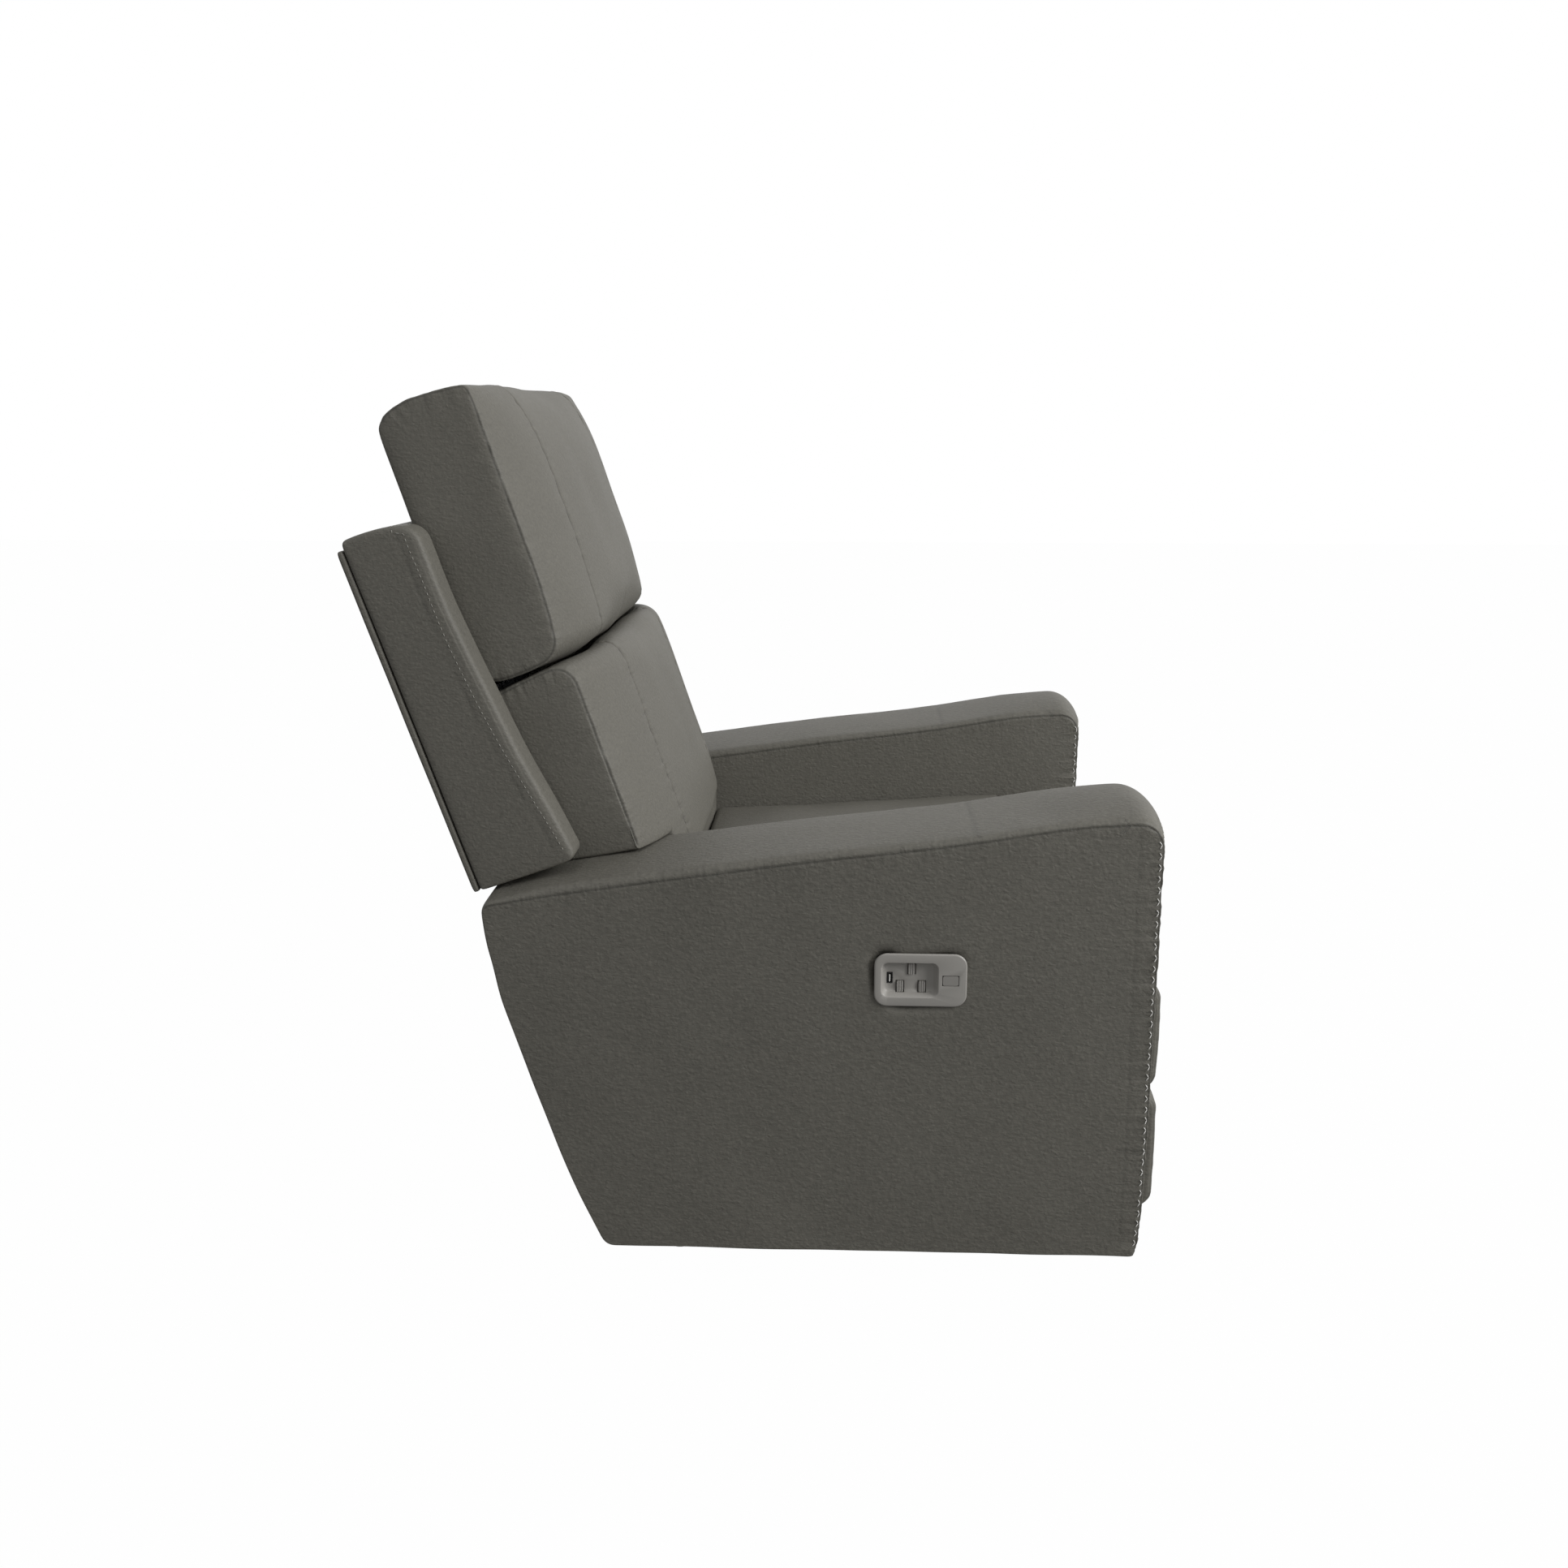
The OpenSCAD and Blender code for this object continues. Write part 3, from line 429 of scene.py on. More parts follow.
def stitch_form(width, long):
    """One stitch: a short rounded thread along Y."""
    bpy.ops.object.select_all(action="DESELECT")
    bpy.ops.mesh.primitive_uv_sphere_add(segments=6, ring_count=5, radius=0.5)
    ball = bpy.context.object
    co = np.array([v.co for v in ball.data.vertices])
    faces = [tuple(p.vertices) for p in ball.data.polygons]
    bpy.data.objects.remove(ball)
    return np.column_stack([co[:, 0] * width, co[:, 2] * long, co[:, 1] * width]), faces


def stitch_row(name, path, cover, pitch, long, width, lift=0.2, chevron=0.0, point=None):
    """A row of stitches laid on a cover's surface along a path: pitch apart, each so long and
    wide, its middle a little over the surface. A chevron stitch is two threads that meet in a
    point, towards the direction given."""
    form, faces = stitch_form(width, long if not chevron else long * 0.6)
    tree = BVHTree.FromObject(cover.obj, bpy.context.evaluated_depsgraph_get())
    run = run_of(path)
    count = int(run[-1] / pitch)
    s = (np.arange(count) + 0.5) * run[-1] / count
    here, before, after = at(path, s), at(path, s - 0.5), at(path, s + 0.5)
    points, all_faces = [], []
    for p, q, r in zip(here, before, after):
        spot, normal, _, _ = tree.find_nearest(Vector(p * MM))
        normal = np.array(normal)
        t = (r - q) / np.linalg.norm(r - q)
        t -= normal * t.dot(normal)
        t /= np.linalg.norm(t)
        b = np.cross(t, normal)
        base = np.array(spot) / MM + normal * (lift + width * 0.3)
        legs = [(0.0, 0.0, 0.0)]
        if chevron:
            if b.dot(point) < 0:
                b = -b
            turn = np.arctan2(chevron, long / 2)
            legs = [(-long / 4, -chevron / 2, turn), (long / 4, -chevron / 2, -turn)]
        for along, aside, turn in legs:
            dy = t * cos(turn) + b * sin(turn)
            dx = b * cos(turn) - t * sin(turn)
            start = len(points) * len(form)
            points.append(base + t * along + b * aside
                          + form[:, :1] * dx + form[:, 1:2] * dy + form[:, 2:] * normal)
            all_faces += [tuple(i + start for i in f) for f in faces]
    return new_mesh(name, np.vstack(points), all_faces)


# ---- finishes ----


class Sheet:
    """A node tree that is filled in from short lines."""

    def __init__(self, tree):
        self.tree = tree

    def add(self, kind, put=None, **values):
        node = self.tree.nodes.new(kind)
        for key, value in values.items():
            setattr(node, key, value)
        for key, value in (put or {}).items():
            if isinstance(value, bpy.types.NodeSocket):
                self.tree.links.new(value, node.inputs[key])
            else:
                node.inputs[key].default_value = value
        return node

    def maths(self, operation, *values):
        return self.add("ShaderNodeMath", dict(enumerate(values)), operation=operation).outputs[0]

    def vector(self, operation, a, b):
        return self.add("ShaderNodeVectorMath", {0: a, 1: b}, operation=operation).outputs[0]

    def noise(self, place, scale, detail=2.0, **put):
        put.update({"Vector": place, "Scale": scale, "Detail": detail})
        return self.add("ShaderNodeTexNoise", put).outputs[0]

    def point(self, name):
        """A number that the mesh keeps for each of its points."""
        return self.add("ShaderNodeAttribute", attribute_name=name).outputs["Fac"]

    def total(self, *terms):
        """The sum of terms (value, weight) or (value, weight, middle), each about its middle."""
        whole = None
        for value, weight, *about in terms:
            if about:
                value = self.maths("SUBTRACT", value, about[0])
            value = self.maths("MULTIPLY", value, weight)
            whole = value if whole is None else self.maths("ADD", whole, value)
        return whole

    def ramp(self, value, low, high, to_low=0.0, to_high=1.0):
        node = self.add("ShaderNodeMapRange", {0: value, 1: low, 2: high, 3: to_low, 4: to_high})
        return node.outputs[0]


class Effect(Sheet):
    """A shared effect: a node group that gives a colour, a roughness and a height. A first value
    of three numbers makes a vector input, and one of four makes a colour input."""

    def __init__(self, name, inputs):
        super().__init__(bpy.data.node_groups.new(name, "ShaderNodeTree"))
        sockets = self.tree.interface
        for label, value in inputs.items():
            kind = {1: "Float", 3: "Vector", 4: "Color"}[np.size(value)]
            socket = sockets.new_socket(name=label, in_out="INPUT", socket_type="NodeSocket" + kind)
            socket.default_value = value
        for label, kind in (("Colour", "Color"), ("Roughness", "Float"), ("Height", "Float")):
            sockets.new_socket(name=label, in_out="OUTPUT", socket_type="NodeSocket" + kind)
        self.given = self.add("NodeGroupInput").outputs
        self.out = self.add("NodeGroupOutput").inputs
        self.place = self.add("ShaderNodeTexCoord").outputs["Object"]

    def give(self, gains, roughness, height):
        """Fills in the outputs. The gains for red, green and blue shade the colour."""
        grey = self.add("ShaderNodeCombineXYZ", dict(enumerate(gains))).outputs[0]
        shaded = self.add("ShaderNodeMix", {0: 1.0, 6: self.given["Colour"], 7: grey},
                          data_type="RGBA", blend_type="MULTIPLY").outputs[2]
        for label, value in (("Colour", shaded), ("Roughness", roughness), ("Height", height)):
            self.tree.links.new(value, self.out[label])
        return self.tree


def hide_effect():
    """Pebbled hide: rounded grain, drawn wrinkles, fine pores, slow changes of colour and gloss, painted
    shade along the seams, and small folds that run out from a seam, with painted shade and light on them."""
    e = Effect("Pebbled Hide", {
        "Colour": (0.13, 0.13, 0.12, 1), "Grain Scale": 210.0, "Variation": 0.12, "Roughness": 0.55,
        "Seam Shade": 0.5, "Wrinkle Stretch": (0.9, 0.32, 1.1), "Fold Height": 3.5})
    wobble = e.add("ShaderNodeTexNoise", {"Vector": e.place, "Scale": 120.0, "Detail": 2.0}).outputs["Color"]
    moved = e.vector("ADD", e.place, e.vector("MULTIPLY", wobble, (0.006, 0.006, 0.006)))
    cells = e.add("ShaderNodeTexVoronoi", {"Vector": moved, "Scale": e.given["Grain Scale"],
                                           "Smoothness": 0.35}, feature="SMOOTH_F1")
    pebble = e.ramp(cells.outputs["Distance"], 0.62, 0.1)
    wrinkle = e.noise(e.vector("MULTIPLY", moved, e.given["Wrinkle Stretch"]), 300.0, Roughness=0.6)
    pores = e.noise(e.place, 900.0)
    patches = e.noise(e.place, 150.0, 3.0, Roughness=0.7)
    slow = e.noise(e.place, 6.0, 3.0)
    wave = e.add("ShaderNodeTexNoise", {"W": e.point("along"), "Scale": 0.12, "Detail": 1.5},
                 noise_dimensions="1D").outputs[0]
    ripple = e.total((wave, e.point("gather"), 0.5))
    height = e.total((pebble, 0.6), (pores, 0.25), (wrinkle, 1.6), (patches, 0.5),
                     (ripple, e.given["Fold Height"]))
    # The ripple term paints shade and light into the colour of the folds beside a seam.
    tone = e.total((patches, 0.9, 0.5), (slow, 0.7, 0.5), (pebble, 0.3, 0.6), (wrinkle, 2.2, 0.5),
                   (ripple, 1.6))
    # Painted shade: the colour darkens along each seam's groove, by its 'sewn' mark.
    shade = e.maths("SUBTRACT", 1.0, e.maths("MULTIPLY", e.point("sewn"), e.given["Seam Shade"]))
    gain = e.maths("MULTIPLY", e.maths("MULTIPLY_ADD", tone, e.given["Variation"], 1.0), shade)
    return e.give([gain] * 3, e.maths("ADD", e.given["Roughness"], e.total((patches, 0.22, 0.5))), height)


def grain_effect():
    """Wood grain that runs along one direction, with pores and growth lines."""
    e = Effect("Wood Grain", {
        "Colour": (0.5, 0.35, 0.2, 1), "Stretch": (1.0, 20.0, 20.0), "Contrast": 0.4})
    long = e.vector("MULTIPLY", e.place, e.given["Stretch"])
    fine = e.noise(long, 60.0, 3.0)
    tone = e.total((e.noise(long, 9.0, 5.0, Distortion=0.6), 0.7), (fine, 0.3))
    gain = e.maths("SUBTRACT", 1.0, e.total((tone, e.given["Contrast"], 0.4)))
    return e.give([gain, e.maths("POWER", gain, 1.15), e.maths("POWER", gain, 1.3)],
                  e.ramp(fine, 0.3, 0.7, 0.62, 0.8), tone)


def mottle_effect():
    """Small uneven marks: moulded texture, rubbed paint or drawn metal."""
    e = Effect("Surface Marks", {
        "Colour": (0.2, 0.2, 0.2, 1), "Scale": 900.0, "Stretch": (1.0, 1.0, 1.0), "Variation": 0.1,
        "Roughness": 0.4, "Roughness Spread": 0.1})
    small = e.noise(e.vector("MULTIPLY", e.place, e.given["Stretch"]), e.given["Scale"])
    tone = e.total((small, 0.5, 0.5), (e.noise(e.place, 30.0, 3.0), 0.5, 0.5))
    gain = e.maths("MULTIPLY_ADD", tone, e.given["Variation"], 1.0)
    return e.give([gain] * 3, e.maths("MULTIPLY_ADD", tone, e.given["Roughness Spread"],
                                      e.given["Roughness"]), small)


def ridge_effect():
    """Moulded ridges that stand side by side, with painted shade in their valleys and painted light on their
    crests.
    """
    e = Effect("Moulded Ridges", {"Colour": (0.2, 0.2, 0.2, 1), "Pitch": 0.0027, "Roughness": 0.4})
    y = e.add("ShaderNodeSeparateXYZ", {0: e.place}).outputs["Y"]
    turn = e.maths("MULTIPLY", e.maths("DIVIDE", y, e.given["Pitch"]), 2 * pi)
    rise = e.ramp(e.maths("SINE", turn), -1.0, 1.0)
    speck = e.add("ShaderNodeTexNoise", {"Scale": 1400.0}).outputs[0]
    # Painted shade and light: the colour is darker in the valleys and lighter than given on the crests.
    return e.give([e.ramp(rise, 0.0, 1.0, 0.8, 1.06)] * 3,
                  e.maths("MULTIPLY_ADD", speck, 0.1, e.given["Roughness"]), rise)


def finish(name, tree, bump, hue, values, look):
    """A material that puts a shared effect on a surface with its own values. bump is the height
    of its marks in millimetres."""
    material = bpy.data.materials.new(name)
    material.use_nodes = True
    s = Sheet(material.node_tree)
    shader = material.node_tree.nodes["Principled BSDF"]
    group = s.add("ShaderNodeGroup", node_tree=tree)
    for key, value in {"Colour": (*hue, 1.0), **values}.items():
        group.inputs[key].default_value = value
    dent = s.add("ShaderNodeBump", {"Height": group.outputs["Height"], "Distance": bump * MM,
                                    "Strength": 1.0})
    for key, value in (("Base Color", group.outputs["Colour"]), ("Roughness", group.outputs["Roughness"]),
                       ("Normal", dent.outputs[0])):
        s.tree.links.new(value, shader.inputs[key])
    for key, value in look.items():
        shader.inputs[key].default_value = value


def dress(obj, material, body):
    """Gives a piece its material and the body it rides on."""
    obj.data.materials.clear()
    obj.data.materials.append(material)
    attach(obj, body)
    return obj


# A material slot that isn't here wears the material of its own name.
WORN = {"leather_arms": "arm leather", "leather_cushions": "cushion leather", "leather_back": "back leather",
        "mechanism_steel": "painted steel", "roller_nylon": "nylon"}
RIDGED = ("button_upper", "button_lower_left", "button_lower_right")
WRAPPED = ("back_rail_lumbar", "back_rail_top", "back_posts", "wing_frames", "headrest_board",
           "seat_rail_front", "legrest_board")


def material(name):
    """The material of that name, or the one that a material slot wears."""
    return bpy.data.materials[WORN.get(name, name.replace("_", " "))]


class ChairOperator(bpy.types.Operator):
    bl_options = {"REGISTER", "UNDO"}


class RECLINER_OT_finishes(ChairOperator):
    """Makes every material and puts one on each solid of the frame"""
    bl_idname = "recliner.finishes"
    bl_label = "Finishes"

    def execute(self, context):
        c = context.scene.recliner_colours
        control = np.array(c.control)
        spread, stretch = "Roughness Spread", "Stretch"
        drawn, woven = {stretch: (1.0, 14.0, 14.0), spread: 0.5}, {stretch: (0.25, 1.0, 1.0)}
        metal, fibre, dull = {"Metallic": 1.0}, {"Sheen Weight": 0.2}, {"Specular IOR Level": 0.4}
        hide, wood, marks = hide_effect(), grain_effect(), mottle_effect()
        for name, bump, grain, variation in (
                ("arm leather", 0.36, 190.0, 0.26), ("cushion leather", 0.28, 230.0, 0.2),
                ("back leather", 0.3, 220.0, 0.24)):
            finish(name, hide, bump, c.leather,
                   {"Grain Scale": grain, "Variation": variation, "Roughness": 0.6}, dull)
        finish("plywood", wood, 0.1, c.plywood, {stretch: (14.0, 14.0, 1.0), "Contrast": 0.5}, {})
        finish("timber", wood, 0.1, c.timber, {stretch: (1.0, 16.0, 16.0), "Contrast": 0.7}, {})
        finish("ridged plastic", ridge_effect(), 0.6, 0.95 * control, {}, {})
        for name, bump, hue, scale, variation, roughness, values, look in (
                ("arm thread", 0.05, c.thread, 1500.0, 0.2, 0.7, {}, {}),
                ("wing thread", 0.03, c.fine_thread, 1500.0, 0.2, 0.7, {}, {}),
                ("painted steel", 0.03, c.paint, 700.0, 0.5, 0.42, {spread: 0.4}, {}),
                ("pin steel", 0.01, c.steel, 500.0, 0.25, 0.34, drawn, metal),
                ("spring steel", 0.01, (0.32, 0.31, 0.29), 600.0, 0.5, 0.42, {spread: 0.5}, metal),
                ("nylon", 0.02, (0.74, 0.74, 0.7), 500.0, 0.08, 0.4, {}, {}),
                ("foot plastic", 0.06, (0.022, 0.022, 0.022), 1100.0, 0.5, 0.55, {}, {}),
                ("webbing", 0.25, (0.035, 0.035, 0.037), 900.0, 0.9, 0.85, woven, fibre),
                ("control plastic", 0.012, control, 1600.0, 0.05, 0.42, {spread: 0.15}, {}),
                ("button plastic", 0.012, 0.82 * control, 1600.0, 0.05, 0.42, {spread: 0.15}, {}),
                ("black felt", 0.15, (0.02, 0.02, 0.021), 1200.0, 0.8, 0.95, {}, fibre),
                ("dark plastic", 0.02, (0.014, 0.014, 0.014), 1300.0, 0.4, 0.4, {}, {})):
            finish(name, marks, bump, hue, {"Scale": scale, "Variation": variation, "Roughness": roughness,
                                            **values}, look)
        slots = {part["node"]: part["material_slot"] for part in frame["record"]["subparts"]}
        for node, obj in frame["nodes"].items():
            if not obj.material_slots:
                obj.data.materials.append(None)
            worn = "ridged plastic" if node in RIDGED else "black felt" if node in WRAPPED else slots[node]
            for place in obj.material_slots:
                place.material = material(worn)
        return {"FINISHED"}


# ---- forms shared by the pieces ----


def ease(v, low, high):
    t = np.clip((v - low) / (high - low), 0, 1)
    return t * t * (3 - 2 * t)


def quarter(d, r):
    """Height of a quarter round of radius r at a distance d from its edge, from 0 to 1."""
    return np.sqrt(1 - (1 - np.clip(d / r, 0, 1)) ** 2)


def both_sides(half):
    """Places across a form from one side to the other, from those of one half."""
    return half + [-x for x in half[::-1] if x > 0]


def whole_width(half, insets, step):
    """Places across a form: close together at its sides, then even up to its middle."""
    edge = [half - inset for inset in insets]
    return both_sides(edge + across(edge[-1], 0, step) + [0.0])


SEAM_SIDE = 6.5
CUSHION_EDGE = (0, 0.5, 1.6, 3.2, 5.2, 8.5)
CUSHION_STEP = 8.5


def seam_places(x):
    """Close places on both sides of a sewn seam."""
    return [x + d for d in (SEAM_SIDE, 3.5, 1.6, 0, -1.6, -3.5, -SEAM_SIDE)]


def round_edge(ring, n, d, r):
    """Draws a ring in where the form's edge is rounded."""
    return -n * np.reshape(r * (1 - quarter(d, r)), (-1, 1))


def cushion_places(half, seam, *more):
    """Places across a back cushion, with a seam on each side of its middle. more is a list of
    places that stand between the side and the seam."""
    edge = [half - inset for inset in CUSHION_EDGE]
    places = edge
    for group in more:
        places = places + across(places[-1], group[0], CUSHION_STEP) + group
    places = places + across(places[-1], seam + SEAM_SIDE, CUSHION_STEP) + seam_places(seam)
    return both_sides(places + across(seam - SEAM_SIDE, 0, CUSHION_STEP) + [0.0])


def edge_seam(path, folds, reach, pitch, seed):
    """A seam beside the edge of a cushion. folds is the share of the full height of its folds."""
    return path, size("seam_depth"), 1.8, size("pucker") * folds, reach, pitch, seed


def finish_cover(cover, seams, unevenness, seed, body, slot, fill, *nodes):
    """Smooths, softens and sews a cover, gives it its material and the body it rides on, and hides the frame
    solids that it covers.
    """
    apply(cover.obj, "SUBSURF", levels=1, render_levels=1)
    soften(cover, unevenness, seed)
    sew(cover, seams)
    dress(cover.obj, material(slot), body)
    if nodes:
        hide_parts(*nodes)


# ---- arms ----

ARM_COUNTS = [54, 80, 54, 80]
POCKET = 30  # how deep the cover is pressed in behind the control plate


def arm_outline():
    low, high = solid("arm_cover_right")
    f, r, z = low[1], high[1], low[2]
    front = np.array([(7, 0), (4, 21), (2, 66), (1, 111), (0, 166), (0, 280), (0, 420), (0, 563)]) + (f, z)
    top = [(0, 563), (25, 563), (50, 562), (91, 559), (129, 554), (223, 538), (319, 525), (415, 513),
           (513, 499), (610, 485), (709, 470), (769, 460)]
    top = [*(np.array(top) + (f, z)), (r, z + 452)]
    rear = [(0, 452), (0, 439), (-4, 405), (-10, 376), (-18, 334), (-31, 292), (-45, 249), (-59, 205),
            (-81, 140), (-106, 73), (-126, 28), (-139, 0)]
    rear = np.array(rear) + (r, z)
    foot = [(r - 139, z), ((f + r) / 2 - 66, z), (f + 7, z)]
    return outline([front, top, rear, foot], [5, 30, 8, 10], ARM_COUNTS)


def arm_cover(side, node):
    """The padded cover of one arm. side is -1 for the arm with the controls."""
    low, high = solid(node)
    inner, outer = sorted(abs(v) for v in (low[0], high[0]))
    centre, half = (inner + outer) / 2, (outer - inner) / 2
    rise, swell = size("arm_rise"), size("arm_swell")
    ring = arm_outline()
    f, r, z0 = low[1], high[1], low[2]

    def shape(ring, n, x):
        d = half - abs(abs(x) - centre)
        belly = 1 - abs((abs(x) - centre) / half) ** 2.4
        y, z = ring[:, 0], ring[:, 1]
        up = np.clip(n[:, 1], 0, 1) ** 2
        ahead = np.clip(-n[:, 0], 0, 1) ** 2
        behind = np.clip(n[:, 0], 0, 1) ** 2
        pad = rise * (0.62 + 0.5 * ease(y, f, r - 110) - 0.62 * ease(y, r - 90, r))
        out = up * (pad * quarter(d, 9.0) + 3.0 * belly + 9.0 * belly * (1 - ease(y, f + 30, f + 150)))
        out += ahead * (1.2 * quarter(d, 5.0) + swell * belly ** 1.5 * (0.4 + 0.6 * ease(z, z0, z0 + 480)))
        out += behind * (1.5 * quarter(d, 5.0) + 1.0 * belly)
        return n * out[:, None]

    edge = [outer - inset for inset in (0, 0.5, 1.8, 4.5, 9)]
    places = edge + across(outer - 9, inner + 9, 10) + [inner + outer - x for x in edge[::-1]]
    cover = Cover(f"arm_pad_{'right' if side < 0 else 'left'}", ring, ARM_COUNTS,
                  [side * x for x in places], upright, shape)
    c = cover.corner
    if side < 0:
        low_b, high_b = solid("control_bezel")
        co = cover.points()
        plate = ((co[:, 0] < -outer + 0.01) & (co[:, 1] > low_b[1] + 18) & (co[:, 1] < high_b[1] - 7)
                 & (co[:, 2] > low_b[2] + 9) & (co[:, 2] < high_b[2] - 9))
        co[plate, 0] += POCKET
        move_points(cover.obj, co)

    def front_join(cover):
        """The line down the outer face where two pieces of hide meet."""
        face = cover.caps[0]
        column = int(np.argmin(abs(cover.points()[face[30, 1:20], 1] - f - 27))) + 1
        return cover.along(face[2:-2, column])

    top_join = c[1] + int(np.argmin(abs(ring[c[1]:c[2], 0] - f - 223)))
    seams = []
    for k, seed in ((0, 3.0), (-1, 11.0)):
        seams += [(cover.ring[k, c[1]:c[2] + 1], 0.7, 1.3, 0.5, 16.0, 30.0, seed + side),
                  (cover.ring[k, 1:c[1] + 3], 0.8, 1.5, size("pucker"), 26.0, 8.0, seed * 2 + side)]
    seams += [(cover.ring[3:-3, top_join], 0.3, 1.6), (front_join, 0.2, 1.6)]
    finish_cover(cover, seams, 1.0, 5.0 * side, "base", "leather_arms", 0.9, node)
    brow = int(np.argmin(abs(ring[:c[1], 1] - z0 - 547)))
    up, down = (cover.along(cover.ring[k, 2:brow + 1]) + (0, 1.5, 0) for k in (0, -1))
    path = np.vstack([up, cover.along(cover.ring[1:-1, brow]), down[::-1]])
    path = at(path, np.arange(0, run_of(path)[-1], 4.0))
    row = stitch_row(cover.name + "_stitches", path, cover, 14.0, size("arm_stitch"), 1.2,
                     chevron=3.0, point=np.array((0, -1.0, 0.25)))
    dress(row, material("arm thread"), "base")


class RECLINER_OT_arms(ChairOperator):
    """Builds both padded arms with their thick stitching"""
    bl_idname = "recliner.arms"
    bl_label = "Arms"

    def execute(self, context):
        arm_cover(-1, "arm_cover_right")
        arm_cover(1, "arm_cover_left")
        return {"FINISHED"}


# ---- back: wings, rear panel, top pad ----

WING_COUNTS = [52, 14, 52, 14]


def wing_outline():
    rear = [(10, -12), (10, 100), (10, 250), (10, 440)]
    top = [(10, 440), (30, 441), (56, 440), (80, 436), (101, 426)]
    front = [(101, 426), (102, 405), (102, 331), (107, 263), (111, 221), (119, 134), (131, 55), (139, -8)]
    foot = [(139, -8), (125, -11), (70, -12), (10, -12)]
    return outline([rear, top, front, foot], [3, 5, 13, 9], WING_COUNTS)


def wing(side, node):
    low, high = solid(node)
    outer = max(abs(low[0]), abs(high[0]))
    inner = cushion_side() + 3.8
    ring = wing_outline()

    def shape(ring, n, x):
        d_out, d_in = outer - abs(x), abs(x) - inner
        ahead = np.clip(n[:, 0], 0, 1)
        top = np.clip(n[:, 1], 0, 1)
        r_out = 3 + 5 * ahead ** 2 + 4 * top ** 2
        r_in = 3 + 4 * ahead ** 2
        out = -r_out * (1 - quarter(d_out, r_out)) - r_in * (1 - quarter(d_in, r_in))
        return n * out[:, None]

    inner_edge = [inner + 7, inner + 3.2, inner + 1, inner]
    places = ([outer - inset for inset in (0, 0.5, 1.6, 3.4, 6, 9.5, 14, 19)]
              + across(outer - 19, inner + 7, 7) + inner_edge)
    cover = Cover(f"wing_{'right' if side < 0 else 'left'}_cover", ring, WING_COUNTS,
                  [side * x for x in places], on_back, shape, 1.2)
    sewn = curve([(85, 424), (85, 402), (86, 367), (86, 316), (88, 269), (94, 205), (102, 145), (112, 88),
                  (122, 34), (127, 4)])
    x_face = side * (outer + 0.5)

    def fold(cover):
        """The seam behind the stitches, on the cover's outer face."""
        tree = BVHTree.FromObject(cover.obj, bpy.context.evaluated_depsgraph_get())
        line = on_back(sewn - (8, 0), x_face)[::6]
        return np.array([tree.find_nearest(Vector(p * MM))[0] for p in line]) / MM

    finish_cover(cover, [(fold, 0.35, 1.8, 0.3, 9.0, 14.0, 2.0 + side)], 0.5, 3.0 * side,
                 "back", "leather_back", 0.8, node)
    over = cover.along(cover.ring[:-len(inner_edge), WING_COUNTS[0] + 9])
    path = np.vstack([on_back(sewn, x_face)[::-5], over])
    row = stitch_row(cover.name + "_stitches", path, cover, 7.3, size("wing_stitch"), 0.65)
    dress(row, material("wing thread"), "back")


def cushion_side():
    """Half the width of the back cushions' foam."""
    return solid("head_cushion")[1][0]


def back_height(z, b):
    """How far up the back a world height lies, at a distance b in front of its rear face."""
    return HINGE_UP + (z - HINGE[1] - (b - HINGE_IN) * sin(LEAN)) / cos(LEAN)


PANEL = 8.6  # thickness of the rear panel
STEP = -12.0  # height at which the rear panel becomes narrower


def rear_panel(name, half, foot, top, *nodes):
    height = top - foot
    middle_up = foot + height / 2
    rows = max(8, round(height / 11))
    counts = [rows, 3, rows, 3]
    ring = outline([[(0, foot), (0, middle_up), (0, top)], [(0, top), (PANEL, top)],
                    [(PANEL, top), (PANEL, middle_up), (PANEL, foot)], [(PANEL, foot), (0, foot)]],
                   [3, 3, 2, 2], counts)

    def shape(ring, n, x):
        belly = (1 - abs(x / half) ** 6) * (1 - abs((ring[:, 1] - (foot + top) / 2) / (height / 2)) ** 6)
        shift = round_edge(ring, n, half - abs(x), 3.0)
        shift[:, 0] += -2.2 * belly * np.clip(-n[:, 0], 0, 1)
        return shift

    cover = Cover(name, ring, counts, whole_width(half, (0, 0.5, 1.5, 3.5, 8), 11), on_back, shape)
    finish_cover(cover, [], 0.4, 9.0, "back", "leather_back", 0.5, *nodes)


class RECLINER_OT_back_shell(ChairOperator):
    """Builds the wings with their fine stitching, the rear panel and the pad over the top rail"""
    bl_idname = "recliner.back_shell"
    bl_label = "Back Shell"

    def execute(self, context):
        wing(-1, "wing_right")
        wing(1, "wing_left")
        low, high = solid("back_outer_panel")
        rear_panel("rear_panel", high[0] - 0.5, STEP, back_height(high[2], PANEL), "back_outer_panel")
        rear_panel("rear_panel_foot", solid("back_posts")[1][0], back_height(low[2], 0), STEP - 0.5)
        half = cushion_side() + 3.2
        counts = [4, 12, 4, 12]
        ring = outline([[(9.6, 425.5), (9.6, 437)], [(9.6, 437), (30, 441), (56, 440), (77.5, 436)],
                        [(77.5, 436), (77.5, 425.5)], [(77.5, 425.5), (9.6, 425.5)]], [2, 5, 5, 2], counts)
        cover = Cover("top_pad", ring, counts, whole_width(half, (0, 0.6, 2, 4, 8), 10), on_back,
                      lambda ring, n, x: round_edge(ring, n, half - abs(x), 3.0))
        finish_cover(cover, [], 0.8, 4.0, "back", "leather_back", 0.7, "back_top_pad")
        return {"FINISHED"}


# ---- back cushions ----

HEAD_COUNTS = [42, 14, 42, 14]
HEAD_SEAM = 200.0


